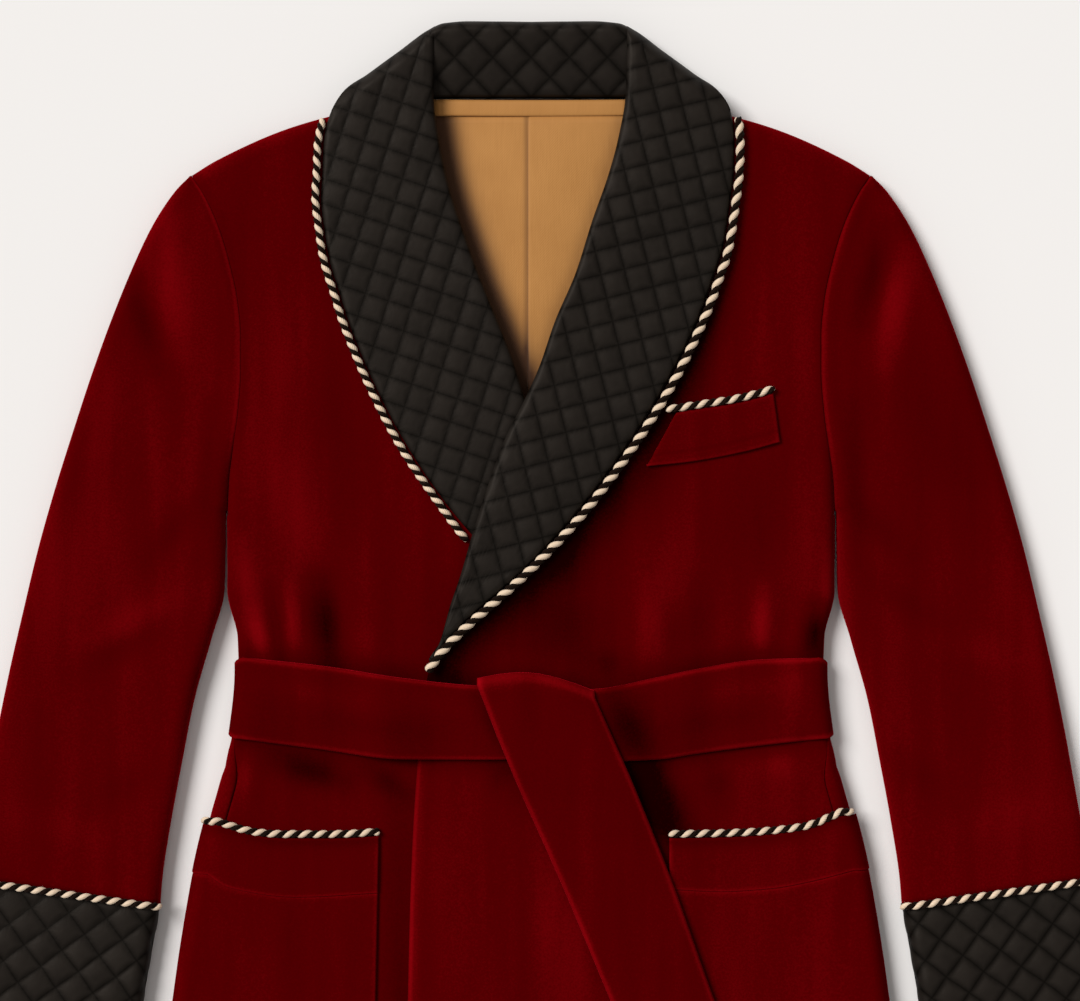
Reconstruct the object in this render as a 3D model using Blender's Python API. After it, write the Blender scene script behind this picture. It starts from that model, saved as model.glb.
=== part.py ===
"""A smoking jacket, laid flat on its back and tied, as a set of sewn cloth pieces.

Sizes are in millimetres in the tables and are turned to metres when a mesh is made.
x runs to the right, "down" runs from the neck seam towards the hem, z is height above the surface.
The left front laps over the right one, so the wearer's left side is at +x.
"""

from math import cos, hypot, pi, radians, sin, sqrt

import bmesh
import bpy
from mathutils import Vector

# Driving sizes
MM = 0.001
NECK_TO_ORIGIN = 373.0
CLOTH = 2.2
BELT_CLOTH = 2.6
COLLAR_CLOTH = 2.6
LINING_CLOTH = 1.0
BODY_TOP = 18.0
WAIST_RAISE = 3.0
OVERLAP_LIFT = 5.8
LIFT_START = 150.0
SEAM_GAP = 0.3
LAY_GAP = 0.4
CORD_DIAMETER = 7.3
QUILT_CELL = 17.0
CUFF_CELL = 18.0
QUILT_RISE = 1.6
CUFF_RISE = 1.2
UNDERARM = 294.0
HEM = 800.0
SIDE_FLAT = 4.0
SEAM_ANGLE = radians(25.0)
SHOULDER_POINT = (241.5, 56.0)
NECK_HALF = 68.0
POCKET_BOTTOM = 710.0
BAND_CLOTH = 3.0
BELT_TOP = 398.5
BELT_BOTTOM = 456.0
BELT_OVERHANG = 2.0
TAIL_FOLD = 4.4
TAIL_CROWN = 9.5
TAIL_LENGTHS = (1.0, 0.95)
LINING_HALF = 92.0
LINING_TOP = 13.4
LINING_END = 250.0
PLEAT_X = -2.6
PLEAT_RISE = 1.4
STRIP_HALF = 70.0
STRIP_ROWS = (2.2, 5.0, 12.8)
STRIP_CLOTH = 1.4
COLLAR_ROLL = 11.0
STAND_ROLL = 8.0
STAND_LENGTH = 53.0
STAND_LOW = 8.6
STAND_HIGH = 20.4
STAND_RIM = 11.6
FALL_RADIUS = 8.1
FALL_HALF = 138.0
CUFF_CLOTH = 3.0
CREASE_ANGLE = radians(40.0)

QUARTER_TURN = pi / 2.0
LEFT = 1
RIGHT = -1


class Table:
    """Rows of named numbers, read by smooth interpolation on the first column."""

    def __init__(self, columns, rows):
        self.columns = columns
        self.rows = rows

    def column(self, name):
        """Return one column as a list."""
        place = self.columns.index(name)
        return [row[place] for row in self.rows]

    def at(self, position, name=None):
        """Return the named column at a position of the first one."""
        keys = self.column(self.columns[0])
        values = self.column(name or self.columns[1])
        if position <= keys[0]:
            return values[0]
        if position >= keys[-1]:
            return values[-1]
        index = max(i for i, key in enumerate(keys) if key <= position)
        span = keys[index + 1] - keys[index]
        part = (position - keys[index]) / span
        rise = values[index + 1] - values[index]

        def slope(i):
            """Return a limited slope at key i, so that the curve never overshoots."""
            if i == 0 or i == len(keys) - 1:
                return rise / span
            before = (values[i] - values[i - 1]) / (keys[i] - keys[i - 1])
            after = (values[i + 1] - values[i]) / (keys[i + 1] - keys[i])
            return 0.0 if before * after <= 0.0 else 2.0 * before * after / (before + after)

        start, end = slope(index) * span, slope(index + 1) * span
        bend = part * (1.0 - part)
        straight = values[index] + rise * part
        return straight + bend * ((1.0 - part) * (start - rise) - part * (end - rise))


# Outlines, half widths from the centre line
BODY_SIDE = Table(("down", "half_width"), [
    (290, 216.4), (350, 216.4), (386, 208.9), (408, 208.0), (452, 212.2), (472, 217.4), (493, 223.0),
    (515, 229.3), (536, 234.6), (557, 239.0), (600, 246.2), (643, 252.4), (710, 262.5), (800, 277.0)])
ARMHOLE = Table(("down", "half_width"), [
    (56, 241.5), (70, 232.2), (94, 221.2), (120, 213.4), (145, 208.1), (170, 205.8), (195, 205.8),
    (224, 207.8), (248, 211.1), (273, 214.4), (294, 215.5)])
SHOULDER = Table(("half_width", "down"), [
    (68, 0.0), (110, 6.5), (147, 14.6), (177, 23.8), (224, 45.2), (241.5, 56.0)])
SLEEVE_OUTER = Table(("down", "half_width"), [
    (57, 243.2), (66.5, 252.8), (88, 267.4), (109, 278.1), (152, 296.2), (195, 311.9), (237, 325.7),
    (280, 339.2), (322, 351.0), (365, 361.3), (408, 371.2), (451, 380.0), (493, 387.6), (556, 399.2)])
SLEEVE_INNER = Table(("down", "half_width"), [
    (297, 217.2), (350, 218.2), (386, 227.6), (429, 239.7), (472, 248.2), (514, 256.0), (557, 262.6),
    (575, 264.0)])
COLLAR_TOP = Table(("half_width", "down"), [
    (0, -53.6), (45, -54.0), (62, -52.6), (73.6, -47.3), (93.2, -33.0), (112.7, -18.8), (131.2, -4.6),
    (143.3, 9.6), (146.4, 14.0)])
OVER_EDGE = Table(("down", "x"), [
    (-54, 68.3), (0, 66.9), (30, 61.9), (56.5, 54.8), (89, 43.4), (127, 31.3), (160, 17.1), (193, 5.7),
    (214, -3.6), (244, -18.5), (273, -29.2), (310, -41.2), (340, -49.8), (361, -56.9), (386, -64.0),
    (406, -72.6), (472, -80.2), (529, -83.9), (586, -86.0), (800, -90.0)])
UNDER_EDGE = Table(("down", "x"), [
    (-54, -68.3), (1, -69.0), (30, -65.4), (64, -58.3), (101, -46.2), (127, -37.0), (150, -27.7),
    (186, -13.5), (214, -4.3), (250, 12.0), (300, 27.0), (350, 36.0), (800, 40.0)])

# Collar cords, lying along the outer edges of the collar
OVER_CORD = Table(("down", "x"), [
    (12, 145.6), (30, 147.9), (54, 147.6), (76, 145.0), (108, 140.1), (129, 133.6), (161, 121.6),
    (207, 98.9), (253, 69.7), (298, 35.6), (338, -2.3), (376, -45.0), (394, -62.6), (408, -73.0)])
UNDER_CORD = Table(("down", "x"), [
    (17, -147.4), (34, -150.8), (54, -151.6), (74, -152.6), (96, -150.1), (118, -146.5), (141, -139.4),
    (165, -131.7), (207, -114.1), (252, -90.5), (297, -59.7), (313, -47.6)])

# Rows of the panels, each from the armhole or side to the front edge
FRONT_ROWS = Table(("outer_down", "inner_down"), [
    (80, 30), (110, 62), (142, 98), (176, 136), (212, 176), (248, 216), (272, 244), (294, 270),
    (297.3, 274), (325, 308), (350, 340), (372, 366), (386, 384), (398.5, 398.5), (417.7, 417.7),
    (436.8, 436.8), (456, 456), (472, 472), (488, 488), (506, 506), (536, 536), (575, 575), (625, 625),
    (680, 680), (740, 740), (HEM, HEM)])
SLEEVE_ROWS = Table(("inner_down", "outer_down"), [
    (59.0, 57.3), (80, 69), (110, 94), (142, 121), (176, 151), (212, 186), (248, 222), (272, 246),
    (294, 266), (297.3, 269.5), (330, 301), (362, 334), (396, 370), (434, 409), (474, 450), (520, 498),
    (574.7, 555.4)])

# Straps of the belt, top and bottom edges, and where their columns lie on the front
STRAPS = {
    RIGHT: Table(("x", "top", "bottom"), [
        (-208, 398, 456), (-151, 404, 463.5), (-96, 412, 470), (-39, 418, 470.5), (8, 420, 470)]),
    LEFT: Table(("x", "top", "bottom"), [
        (14, 421, 471), (44, 420.5, 472), (91, 412, 470.5), (115, 407, 467), (162, 400, 461),
        (208, 398.5, 456)])}
STRAP_COLUMNS = {
    RIGHT: (8.0, -24.0, -56.0, -90.0, -107.0, -124.0, -150.0, -176.0),
    LEFT: (14.0, 40.0, 66.0, 92.0, 118.0, 150.0, 174.0)}

# The hanging end: its two edges, and how far it stands off the front
TAIL = Table(("part", "left_x", "left_down", "right_x", "right_down", "stand_off"), [
    (0.00, -38.0, 420, 45.0, 426, 9.0),
    (0.12, -21.5, 459, 61.0, 462, 9.3),
    (0.18, -13.5, 478, 69.5, 481, 9.3),
    (0.24, -4.5, 499, 78.5, 503, 7.4),
    (0.31, 4.9, 520, 87.0, 524, 7.4),
    (0.40, 17.6, 548, 98.0, 552, 9.6),
    (0.66, 55.8, 639, 130.2, 642, 9.6),
    (1.00, 102.0, 749, 172.0, 749, 9.6)])

# Pieces laid on the fronts: edge lines read by distance from the centre
POCKET_TOPS = {
    RIGHT: Table(("half_width", "down"), [(107, 521.5), (139, 523.3), (184, 523), (221, 516), (235, 513)]),
    LEFT: Table(("half_width", "down"), [(97, 523), (143, 522.3), (186, 519), (223, 509), (235, 506)])}
BAND_SEAMS = {
    RIGHT: Table(("half_width", "down"), [(107, 565), (171, 568), (221, 561.5), (244, 550)]),
    LEFT: Table(("half_width", "down"), [(97, 562), (138, 564), (174, 562), (205, 557), (240, 549)])}
POCKET_INNER = {RIGHT: (108.0, 111.0), LEFT: (98.0, 97.4)}
POCKET_FLOOR = Table(("half_width", "down"), [(97, POCKET_BOTTOM), (260, POCKET_BOTTOM - 2.0)])
WELT_TOP = Table(("x", "down"), [(97, 223), (119, 219.3), (141, 216), (165, 210.3), (172, 208)])
WELT_BOTTOM = Table(("x", "down"), [(78, 263.5), (112, 260), (150, 253), (176, 246)])
WELT_COLUMNS = ((104.0, 84.0), (118.0, 104.0), (134.0, 126.0), (150.0, 146.0), (161.0, 161.0), (171.8, 176.0))

# Folds: a soft ridge or hollow from one point to another
FOLDS = Table(("side", "x", "down", "end_x", "end_down", "rise", "width"), [
    (RIGHT, -196, 330, -182, 378, 2.2, 9.0),
    (RIGHT, -168, 350, -160, 380, -2.2, 10.0),
    (RIGHT, -146, 356, -140, 386, 1.6, 9.0),
    (RIGHT, -150, 486, -162, 498, -1.6, 9.0),
    (LEFT, 84, 350, 90, 392, 2.2, 9.0),
    (LEFT, 122, 356, 118, 386, -1.6, 10.0),
    (LEFT, 166, 350, 158, 379, 1.8, 9.0),
    (LEFT, 196, 336, 188, 376, -2.4, 9.0),
    (LEFT, 170, 484, 184, 490, 1.4, 9.0)])
SLEEVE_FOLDS = Table(("side", "x", "down", "end_x", "end_down", "rise", "width"), [
    (LEFT, 262, 110, 236, 170, -1.4, 14.0),
    (RIGHT, -284, 150, -262, 210, 1.2, 15.0),
    (RIGHT, -276, 190, -300, 250, -1.2, 14.0),
    (LEFT, 300, 380, 338, 402, -1.0, 14.0),
    (RIGHT, -296, 396, -340, 424, -1.0, 14.0)])

COLOURS = Table(("name", "red", "green", "blue", "roughness"), [
    ("velvet", 0.084, 0.0008, 0.0016, 0.85),
    ("satin", 0.010, 0.008, 0.007, 0.55),
    ("lining", 0.44, 0.22, 0.075, 0.6),
    ("cord", 0.66, 0.48, 0.36, 0.7)])


def clamp(value, low=0.0, high=1.0):
    """Return the value kept between low and high."""
    return max(low, min(high, value))


def smooth_step(start, end, value):
    """Return 0 before start, 1 after end, and a soft step between them."""
    part = clamp((value - start) / (end - start))
    return part * part * (3.0 - 2.0 * part)


def mix(first, second, part):
    """Return the value that lies part of the way from first to second."""
    return first + (second - first) * part


def fold_distance(fold, x, down):
    """Return how far a point lies from a fold's line, and how far along the line it is."""
    _, x0, down0, x1, down1, _, _ = fold
    length = hypot(x1 - x0, down1 - down0)
    along = ((x - x0) * (x1 - x0) + (down - down0) * (down1 - down0)) / length ** 2
    along = clamp(along)
    return hypot(x - mix(x0, x1, along), down - mix(down0, down1, along)), along


def fold_rise(folds, side, x, down):
    """Return the height that the folds of one side add at a point."""
    total = 0.0
    for fold in folds.rows:
        if fold[0] != side:
            continue
        distance, along = fold_distance(fold, x, down)
        reach = fold[6] * 1.8
        if distance < reach:
            total += fold[5] * (1.0 - smooth_step(0.0, reach, distance)) * (0.6 + 0.4 * sin(pi * along))
    return total


def floor_raise(down):
    """Return how far the body is raised off the surface, where the belt runs under it."""
    return WAIST_RAISE * smooth_step(372.0, 396.0, down) * (1.0 - smooth_step(460.0, 486.0, down))


def turn(down):
    """Return the radius of the body's side turn."""
    return (BODY_TOP - floor_raise(down)) / 2.0


def turn_profile(arc, radius, depth=0.0):
    """Return the inset from the outline and the rise above mid height of a point on a side turn.

    arc is the length along the outer surface from mid height, upwards positive. depth is the distance
    inside the outer surface, or outside it when negative.
    """
    limit = radius * QUARTER_TURN
    if abs(arc) > limit:
        level = (radius - depth) if arc > 0 else depth - radius
        return radius + abs(arc) - limit, level
    angle = arc / radius
    return radius - (radius - depth) * cos(angle), (radius - depth) * sin(angle)


def overlap_lift(x):
    """Return how far the left front rises to pass over the right one."""
    return OVERLAP_LIFT * clamp((LIFT_START - x) / LIFT_START)


def front_height(side, x):
    """Return the height of a front's outer surface, away from its turned edges."""
    return BODY_TOP + (overlap_lift(x) if side == LEFT else 0.0)


def side_seam(down):
    """Return the arc position of the seam between side panel and front."""
    radius = turn(down)
    high = radius * SEAM_ANGLE
    low = radius * QUARTER_TURN + SIDE_FLAT
    return mix(high, low, smooth_step(440.0, 490.0, down))


def shoulder_down(half_width):
    """Return the shoulder line's place, level across the neck."""
    return SHOULDER.at(abs(half_width))


def shoulder_bend(outer_down, outer_half, x, part):
    """Return how far a panel's row bends to follow the shoulder line, and not at all at the armhole.

    outer_down and outer_half are the row's place at the armhole. part runs from 0 there to 1 at the neck.
    """
    fade = clamp(1.0 - (outer_down - SHOULDER_POINT[1]) / 90.0)
    straight = mix(SHOULDER_POINT[1], 0.0, part)
    own = (shoulder_down(outer_half) - SHOULDER_POINT[1]) * (1.0 - part)
    return fade * (shoulder_down(x) - straight - own)


def place(x, down, z):
    """Return a point in metres in the part's own frame."""
    return Vector((x * MM, (NECK_TO_ORIGIN - down) * MM, z * MM))


def make_material(name):
    """Make the plain finish of one kind of cloth."""
    row = COLOURS.column("name").index(name)
    material = bpy.data.materials.new(name)
    material.use_nodes = True
    shader = material.node_tree.nodes["Principled BSDF"]
    colour = [COLOURS.column(part)[row] for part in ("red", "green", "blue")]
    shader.inputs["Base Color"].default_value = (*colour, 1.0)
    shader.inputs["Roughness"].default_value = COLOURS.column("roughness")[row]
    shader.inputs["Metallic"].default_value = 0.0
    return material


def add_object(name, mesh, finish):
    """Link a mesh to the jacket's collection under a name."""
    mesh.materials.append(bpy.data.materials[finish])
    piece = bpy.data.objects.new(name, mesh)
    bpy.data.collections["smoking_jacket"].objects.link(piece)
    return piece


def close_up(bm, name, finish):
    """Turn a closed bmesh into a named object with its faces pointing outwards."""
    bmesh.ops.recalc_face_normals(bm, faces=bm.faces[:])
    if bm.calc_volume(signed=True) < 0.0:
        bmesh.ops.reverse_faces(bm, faces=bm.faces[:])
    bmesh.ops.triangulate(bm, faces=bm.faces[:], quad_method="BEAUTY", ngon_method="BEAUTY")
    mesh = bpy.data.meshes.new(name)
    bm.to_mesh(mesh)
    bm.free()
    mesh.shade_smooth()
    mesh.set_sharp_from_angle(angle=CREASE_ANGLE)
    return add_object(name, mesh, finish)


def wall(name, outer, inner, finish):
    """Make a cloth wall between two grids of points, outer and inner, each a list of rows."""
    rows, columns = len(outer) - 1, len(outer[0]) - 1
    bm = bmesh.new()
    bmesh.ops.create_grid(bm, x_segments=columns, y_segments=rows, size=1.0)
    cells = {}
    for vertex in bm.verts:
        column = round((vertex.co.x + 1.0) / 2.0 * columns)
        row = round((vertex.co.y + 1.0) / 2.0 * rows)
        cells[vertex] = (row, column)
    spots = [(vertex, cells[vertex]) for vertex in bm.verts]
    grown = bmesh.ops.extrude_face_region(bm, geom=bm.faces[:], use_keep_orig=True)
    raised = [item for item in grown["geom"] if isinstance(item, bmesh.types.BMVert)]
    for vertex in raised:
        column = round((vertex.co.x + 1.0) / 2.0 * columns)
        row = round((vertex.co.y + 1.0) / 2.0 * rows)
        vertex.co = place(*inner[row][column])
    for vertex, (row, column) in spots:
        vertex.co = place(*outer[row][column])
    return close_up(bm, name, finish)


def quilted_wall(name, outline, directions, cell, extra_cuts, surface, finish):
    """Make a wall with raised quilting cells.

    outline is a flat polygon. It is cut along lines in two directions, a cell apart, and along
    extra_cuts, each a point and a normal. surface gives the point for a flat place, with 1 on the
    outer side and 0 on the inner, and for how much of the quilt's rise to add.
    """
    bm = bmesh.new()
    corners = [bm.verts.new((u, v, 0.0)) for u, v in outline]
    bm.faces.new(corners)
    cuts = list(extra_cuts)
    for angle in directions:
        normal = (cos(angle), sin(angle))
        reaches = [u * normal[0] + v * normal[1] for u, v in outline]
        first = int(min(reaches) // cell) + 1
        last = int(max(reaches) // cell)
        for step in range(first, last + 1):
            cuts.append(((normal[0] * cell * step, normal[1] * cell * step), normal))
    for point, normal in cuts:
        geometry = bm.verts[:] + bm.edges[:] + bm.faces[:]
        bmesh.ops.bisect_plane(bm, geom=geometry, dist=0.35, plane_co=(*point, 0.0),
                               plane_no=(*normal, 0.0))
    bmesh.ops.remove_doubles(bm, verts=bm.verts[:], dist=0.9)
    bmesh.ops.dissolve_degenerate(bm, edges=bm.edges[:], dist=0.05)
    sizes = [sqrt(face.calc_area()) for face in bm.faces]
    flat = {}
    grown = bmesh.ops.extrude_face_region(bm, geom=bm.faces[:], use_keep_orig=True)
    top = [item for item in grown["geom"] if isinstance(item, bmesh.types.BMFace)]
    for item in grown["geom"]:
        if isinstance(item, bmesh.types.BMVert):
            flat[item] = (item.co.x, item.co.y, 1.0, 0.0)
    for vertex in bm.verts:
        if vertex not in flat:
            flat[vertex] = (vertex.co.x, vertex.co.y, 0.0, 0.0)
    heights = {face: clamp(sqrt(face.calc_area()) / cell) ** 2 for face in top}
    largest = max(sizes)
    big = [face for face in top if heights[face] * cell > 0.35 * largest]
    centres = {}
    for face in big:
        middle = face.calc_center_median()
        centres[(round(middle.x, 3), round(middle.y, 3))] = heights[face]
    poked = bmesh.ops.poke(bm, faces=big)
    for vertex in poked["verts"]:
        key = (round(vertex.co.x, 3), round(vertex.co.y, 3))
        flat[vertex] = (vertex.co.x, vertex.co.y, 1.0, centres.get(key, 0.5))
    for vertex, spot in flat.items():
        vertex.co = place(*surface(*spot))
    return close_up(bm, name, finish)


def smooth_path(points, step):
    """Return points a step apart, about, on a smooth curve through the given ones."""
    path = []
    count = len(points)
    for index in range(count - 1):
        before = points[max(index - 1, 0)]
        start, end = points[index], points[index + 1]
        after = points[min(index + 2, count - 1)]
        parts = max(1, round((end - start).length / step))
        for part in range(parts):
            t = part / parts
            path.append(0.5 * ((2 * start) + (end - before) * t
                               + (2 * before - 5 * start + 4 * end - after) * t ** 2
                               + (3 * start - before - 3 * end + after) * t ** 3))
    path.append(points[-1])
    return path


def cord(name, points):
    """Make a cord as a round tube along a smooth route."""
    route = smooth_path([place(*point) for point in points], 0.0155)
    curve = bpy.data.curves.new(name, "CURVE")
    curve.dimensions = "3D"
    curve.bevel_depth = CORD_DIAMETER / 2.0 * MM
    curve.bevel_resolution = 2
    curve.use_fill_caps = True
    spline = curve.splines.new("POLY")
    spline.points.add(len(route) - 1)
    for point, spot in zip(spline.points, route):
        point.co = (*spot, 1.0)
    curve.materials.append(bpy.data.materials["cord"])
    piece = bpy.data.objects.new(name, curve)
    bpy.data.collections["smoking_jacket"].objects.link(piece)
    return piece


def shoulder_rolls(radius):
    """Return the arcs of the rows that turn over the shoulder line."""
    return [radius * QUARTER_TURN * part for part in (0.0, 0.34, 0.67, 1.0)]


def armhole_crease(down):
    """Return how far the edge by the armhole has turned down, from 0 to 1 at the underarm."""
    return smooth_step(225.0, UNDERARM, down)


def front_columns(side):
    """Return where a front's columns lie between its side and its front edge, from 0 to 1."""
    count = 12 if side == LEFT else 10
    return [index / count for index in range(count + 1)]


def front_panel(side):
    """Make one front, from the shoulder line to the hem."""
    edge = OVER_EDGE if side == LEFT else UNDER_EDGE
    rolls = shoulder_rolls(turn(0.0))
    rows = [(SHOULDER_POINT[1], 0.3, arc) for arc in rolls]
    rows += [(outer, inner, None) for outer, inner in FRONT_ROWS.rows]
    grids = []
    for depth in (0.0, CLOTH):
        grid = []
        for outer_down, inner_down, arc in rows:
            radius = turn(outer_down)
            drop, shift = 0.0, 0.0
            if arc is not None:
                gap_arc = max(arc, SEAM_GAP / 2.0)
                inset, rise = turn_profile(gap_arc, radius, depth)
                shift, drop = inset, (radius - depth) - rise
            row = []
            hidden = 1.4 if inner_down < 406 else 0.0
            inner_x = side * (edge.at(inner_down + shift) * side + hidden)
            if outer_down > UNDERARM + 1.0:
                seam = side_seam(outer_down) + SEAM_GAP / 2.0
                turned = 1.0
                outline = BODY_SIDE.at(outer_down)
                base_inset = 0.0
            else:
                seam = radius * SEAM_ANGLE
                turned = armhole_crease(outer_down)
                outline = ARMHOLE.at(outer_down + shift) - SEAM_GAP / 2.0
                base_inset = turn_profile(seam, radius)[0]
            end = max(radius * QUARTER_TURN, seam + 2.0)
            turned_arcs = [mix(seam, end, part / 3.0) for part in range(3)]
            flat_start = outline - (turn_profile(end, radius)[0] - base_inset)
            spots = []
            for column_arc in turned_arcs:
                inset, rise = turn_profile(column_arc, radius, depth)
                spots.append((side * (outline - inset + base_inset), ((radius - depth) - rise) * turned))
            for part in front_columns(side):
                spots.append((mix(side * flat_start, inner_x, part), 0.0))
            first_x, last_x = spots[0][0], spots[-1][0]
            for x, side_drop in spots:
                part = (x - first_x) / (last_x - first_x)
                level = mix(outer_down, inner_down, part)
                down = level + shoulder_bend(outer_down, abs(first_x), x, part) + shift
                z = front_height(side, x) - depth - side_drop + fold_rise(FOLDS, side, x, down)
                if arc is not None:
                    z -= drop * (front_height(side, x) / BODY_TOP * 2.0 - 1.0)
                row.append((x, down, z))
            grid.append(row)
        grids.append(grid)
    name = "front_left" if side == LEFT else "front_right"
    return wall(name, grids[0], grids[1], "velvet")


def back_panel():
    """Make the back, flat on the surface, with its shoulders turned up to meet the fronts."""
    rolls = shoulder_rolls(turn(0.0))
    rows = [(SHOULDER_POINT[1], 0.0, arc) for arc in rolls]
    rows += [(outer, inner, None) for outer, inner in FRONT_ROWS.rows]
    half_parts = [0.0, 0.3, 0.55, 0.72, 0.86, 1.0]
    parts = [-part for part in reversed(half_parts)] + half_parts[1:]
    grids = []
    for depth in (0.0, CLOTH):
        grid = []
        for outer_down, inner_down, arc in rows:
            radius = turn(outer_down)
            shift, rise = 0.0, 0.0
            if arc is not None:
                inset, level = turn_profile(-max(arc, SEAM_GAP / 2.0), radius, depth)
                shift, rise = inset, level + radius - depth
            if outer_down > UNDERARM + 1.0:
                half = BODY_SIDE.at(outer_down) - radius - SIDE_FLAT - SEAM_GAP / 2.0
            else:
                half = ARMHOLE.at(outer_down + shift) - SEAM_GAP / 2.0
            row = []
            for part in parts:
                x = part * half
                across = clamp((half - abs(x)) / (half - NECK_HALF))
                turned = smooth_step(128.0, 152.0, abs(x))
                level = mix(outer_down, inner_down if outer_down < 360 else outer_down, across)
                under_collar = shift * mix(0.4, 1.0, turned) if depth == 0.0 else shift
                if depth > 0.0 and arc is not None:
                    plain = turn_profile(-max(arc, SEAM_GAP / 2.0), radius)[0]
                    under_collar = mix(plain * 0.4, shift, turned)
                bend = shoulder_bend(outer_down, half, x, across)
                down = level + bend + under_collar + SEAM_GAP / 2.0
                row.append((x, down, depth + floor_raise(down) + rise * turned))
            grid.append(row)
        grids.append(grid)
    return wall("back", grids[0], grids[1], "velvet")


def side_panel(side):
    """Make the narrow panel that turns round one side, from the back's edge to the front's seam."""
    steps = 7
    grids = []
    for depth in (0.0, CLOTH):
        grid = []
        for outer_down, _ in FRONT_ROWS.rows:
            if outer_down < UNDERARM + 1.0:
                continue
            down = outer_down + (0.6 if outer_down < 300 else 0.0)
            radius = turn(outer_down)
            low = -radius * QUARTER_TURN - SIDE_FLAT + SEAM_GAP / 2.0
            high = side_seam(outer_down) - SEAM_GAP / 2.0
            arcs = [low, -radius * QUARTER_TURN]
            arcs += [mix(-radius * QUARTER_TURN, high, part / (steps - 1)) for part in range(1, steps)]
            row = []
            for arc in arcs:
                inset, rise = turn_profile(arc, radius, depth)
                x = BODY_SIDE.at(outer_down) - inset
                row.append((side * x, down, floor_raise(outer_down) + radius + rise))
            grid.append(row)
        grids.append(grid)
    name = "side_left" if side == LEFT else "side_right"
    return wall(name, grids[0], grids[1], "velvet")


def sleeve_line(inner_down, outer_down):
    """Return a sleeve row's two ends, and whether its inner end is on the armhole."""
    on_armhole = inner_down < UNDERARM + 1.0
    if on_armhole:
        inner_x = ARMHOLE.at(inner_down) + SEAM_GAP / 2.0
    else:
        inner_x = SLEEVE_INNER.at(inner_down)
    return (inner_x, inner_down), (SLEEVE_OUTER.at(outer_down), outer_down), on_armhole


def sleeve_panel(side, upper):
    """Make the top or the under half of one sleeve."""
    radius = BODY_TOP / 2.0
    sign = 1.0 if upper else -1.0
    turns = [max(SEAM_GAP / 2.0, radius * QUARTER_TURN * part) for part in (0.0, 0.34, 0.67, 1.0)]
    across = [0.25, 0.5, 0.75] if upper else [0.5]
    grids = []
    for depth in (0.0, CLOTH):
        grid = []
        for inner_down, outer_down in SLEEVE_ROWS.rows:
            start, end, on_armhole = sleeve_line(inner_down, outer_down)
            length = hypot(end[0] - start[0], end[1] - start[1])
            toward = ((end[0] - start[0]) / length, (end[1] - start[1]) / length)
            squeeze = min(1.0, length / (2.0 * radius + 4.0))
            cap = clamp(length / 2.0 / radius)
            height = sqrt(1.0 - (1.0 - cap) ** 2)
            crease = armhole_crease(inner_down) if on_armhole and upper else float(not on_armhole)
            spots = []
            for arc in turns:
                inset, rise = turn_profile(arc, radius, depth)
                full = radius - depth
                spots.append((inset * squeeze if crease > 0.99 else turn_profile(arc, radius)[0] * squeeze,
                              full - (full - rise) * crease))
            spots += [(mix(radius * squeeze, length - radius * squeeze, part), radius - depth)
                      for part in across]
            for arc in reversed(turns):
                inset, rise = turn_profile(arc, radius, depth)
                spots.append((length - inset * squeeze, rise))
            row = []
            for reach, rise in spots:
                x = side * (start[0] + toward[0] * reach)
                down = start[1] + toward[1] * reach
                z = radius + sign * rise * height
                if upper:
                    z += fold_rise(SLEEVE_FOLDS, side, x, down) * smooth_step(0.4, 1.0, rise / (radius - depth))
                row.append((x, down, z))
            grid.append(row)
        grids.append(grid)
    name = ("sleeve_left_" if side == LEFT else "sleeve_right_") + ("top" if upper else "under")
    return wall(name, grids[0], grids[1], "velvet")


# The cuff's corners: inner and outer ends of its top and bottom lines
CUFF_TOP = ((264.1, 575.1), (399.6, 555.9))
CUFF_BOTTOM = ((284.2, 688.0), (420.6, 667.5))


def cuff_line(part):
    """Return the inner and outer ends of a line across the cuff."""
    ends = []
    for top, bottom in zip(CUFF_TOP, CUFF_BOTTOM):
        ends.append((mix(top[0], bottom[0], part), mix(top[1], bottom[1], part)))
    return ends


def cuff_point(side, across, part, depth, sign):
    """Return a point of the cuff for a length across its unrolled half, and a part down it."""
    radius = BODY_TOP / 2.0
    start, end = cuff_line(part)
    length = hypot(end[0] - start[0], end[1] - start[1])
    toward = ((end[0] - start[0]) / length, (end[1] - start[1]) / length)
    quarter = radius * QUARTER_TURN
    total = length - 2.0 * radius + 2.0 * quarter
    reach = clamp(across, 0.0, 1.0) * total
    if reach > total / 2.0:
        inset, rise = turn_profile(max(total - reach, SEAM_GAP / 2.0), radius, depth)
        inset = length - inset
    else:
        inset, rise = turn_profile(max(reach, SEAM_GAP / 2.0), radius, depth)
    return side * (start[0] + toward[0] * inset), start[1] + toward[1] * inset, radius + sign * rise


def cuff_top(side):
    """Make the quilted upper half of one cuff."""
    radius = BODY_TOP / 2.0
    start, end = cuff_line(0.5)
    width = hypot(end[0] - start[0], end[1] - start[1]) + 2.0 * radius * (QUARTER_TURN - 1.0)
    drop = CUFF_BOTTOM[0][1] - CUFF_TOP[0][1]
    outline = [(0.0, 0.0), (width, 0.0), (width, drop), (0.0, drop)]
    quarter = radius * QUARTER_TURN
    bends = [quarter * part for part in (0.4, 0.85)]
    extra = [((u, 0.0), (1.0, 0.0)) for bend in bends for u in (bend, width - bend)]

    def surface(u, v, outside, raised):
        """Map the unrolled cuff to its place."""
        depth = -CUFF_RISE * raised if outside else CUFF_CLOTH
        return cuff_point(side, u / width, v / drop, depth, 1.0)

    name = "cuff_left_top" if side == LEFT else "cuff_right_top"
    directions = (radians(45.0), radians(-45.0))
    return quilted_wall(name, outline, directions, CUFF_CELL, extra, surface, "satin")


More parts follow.
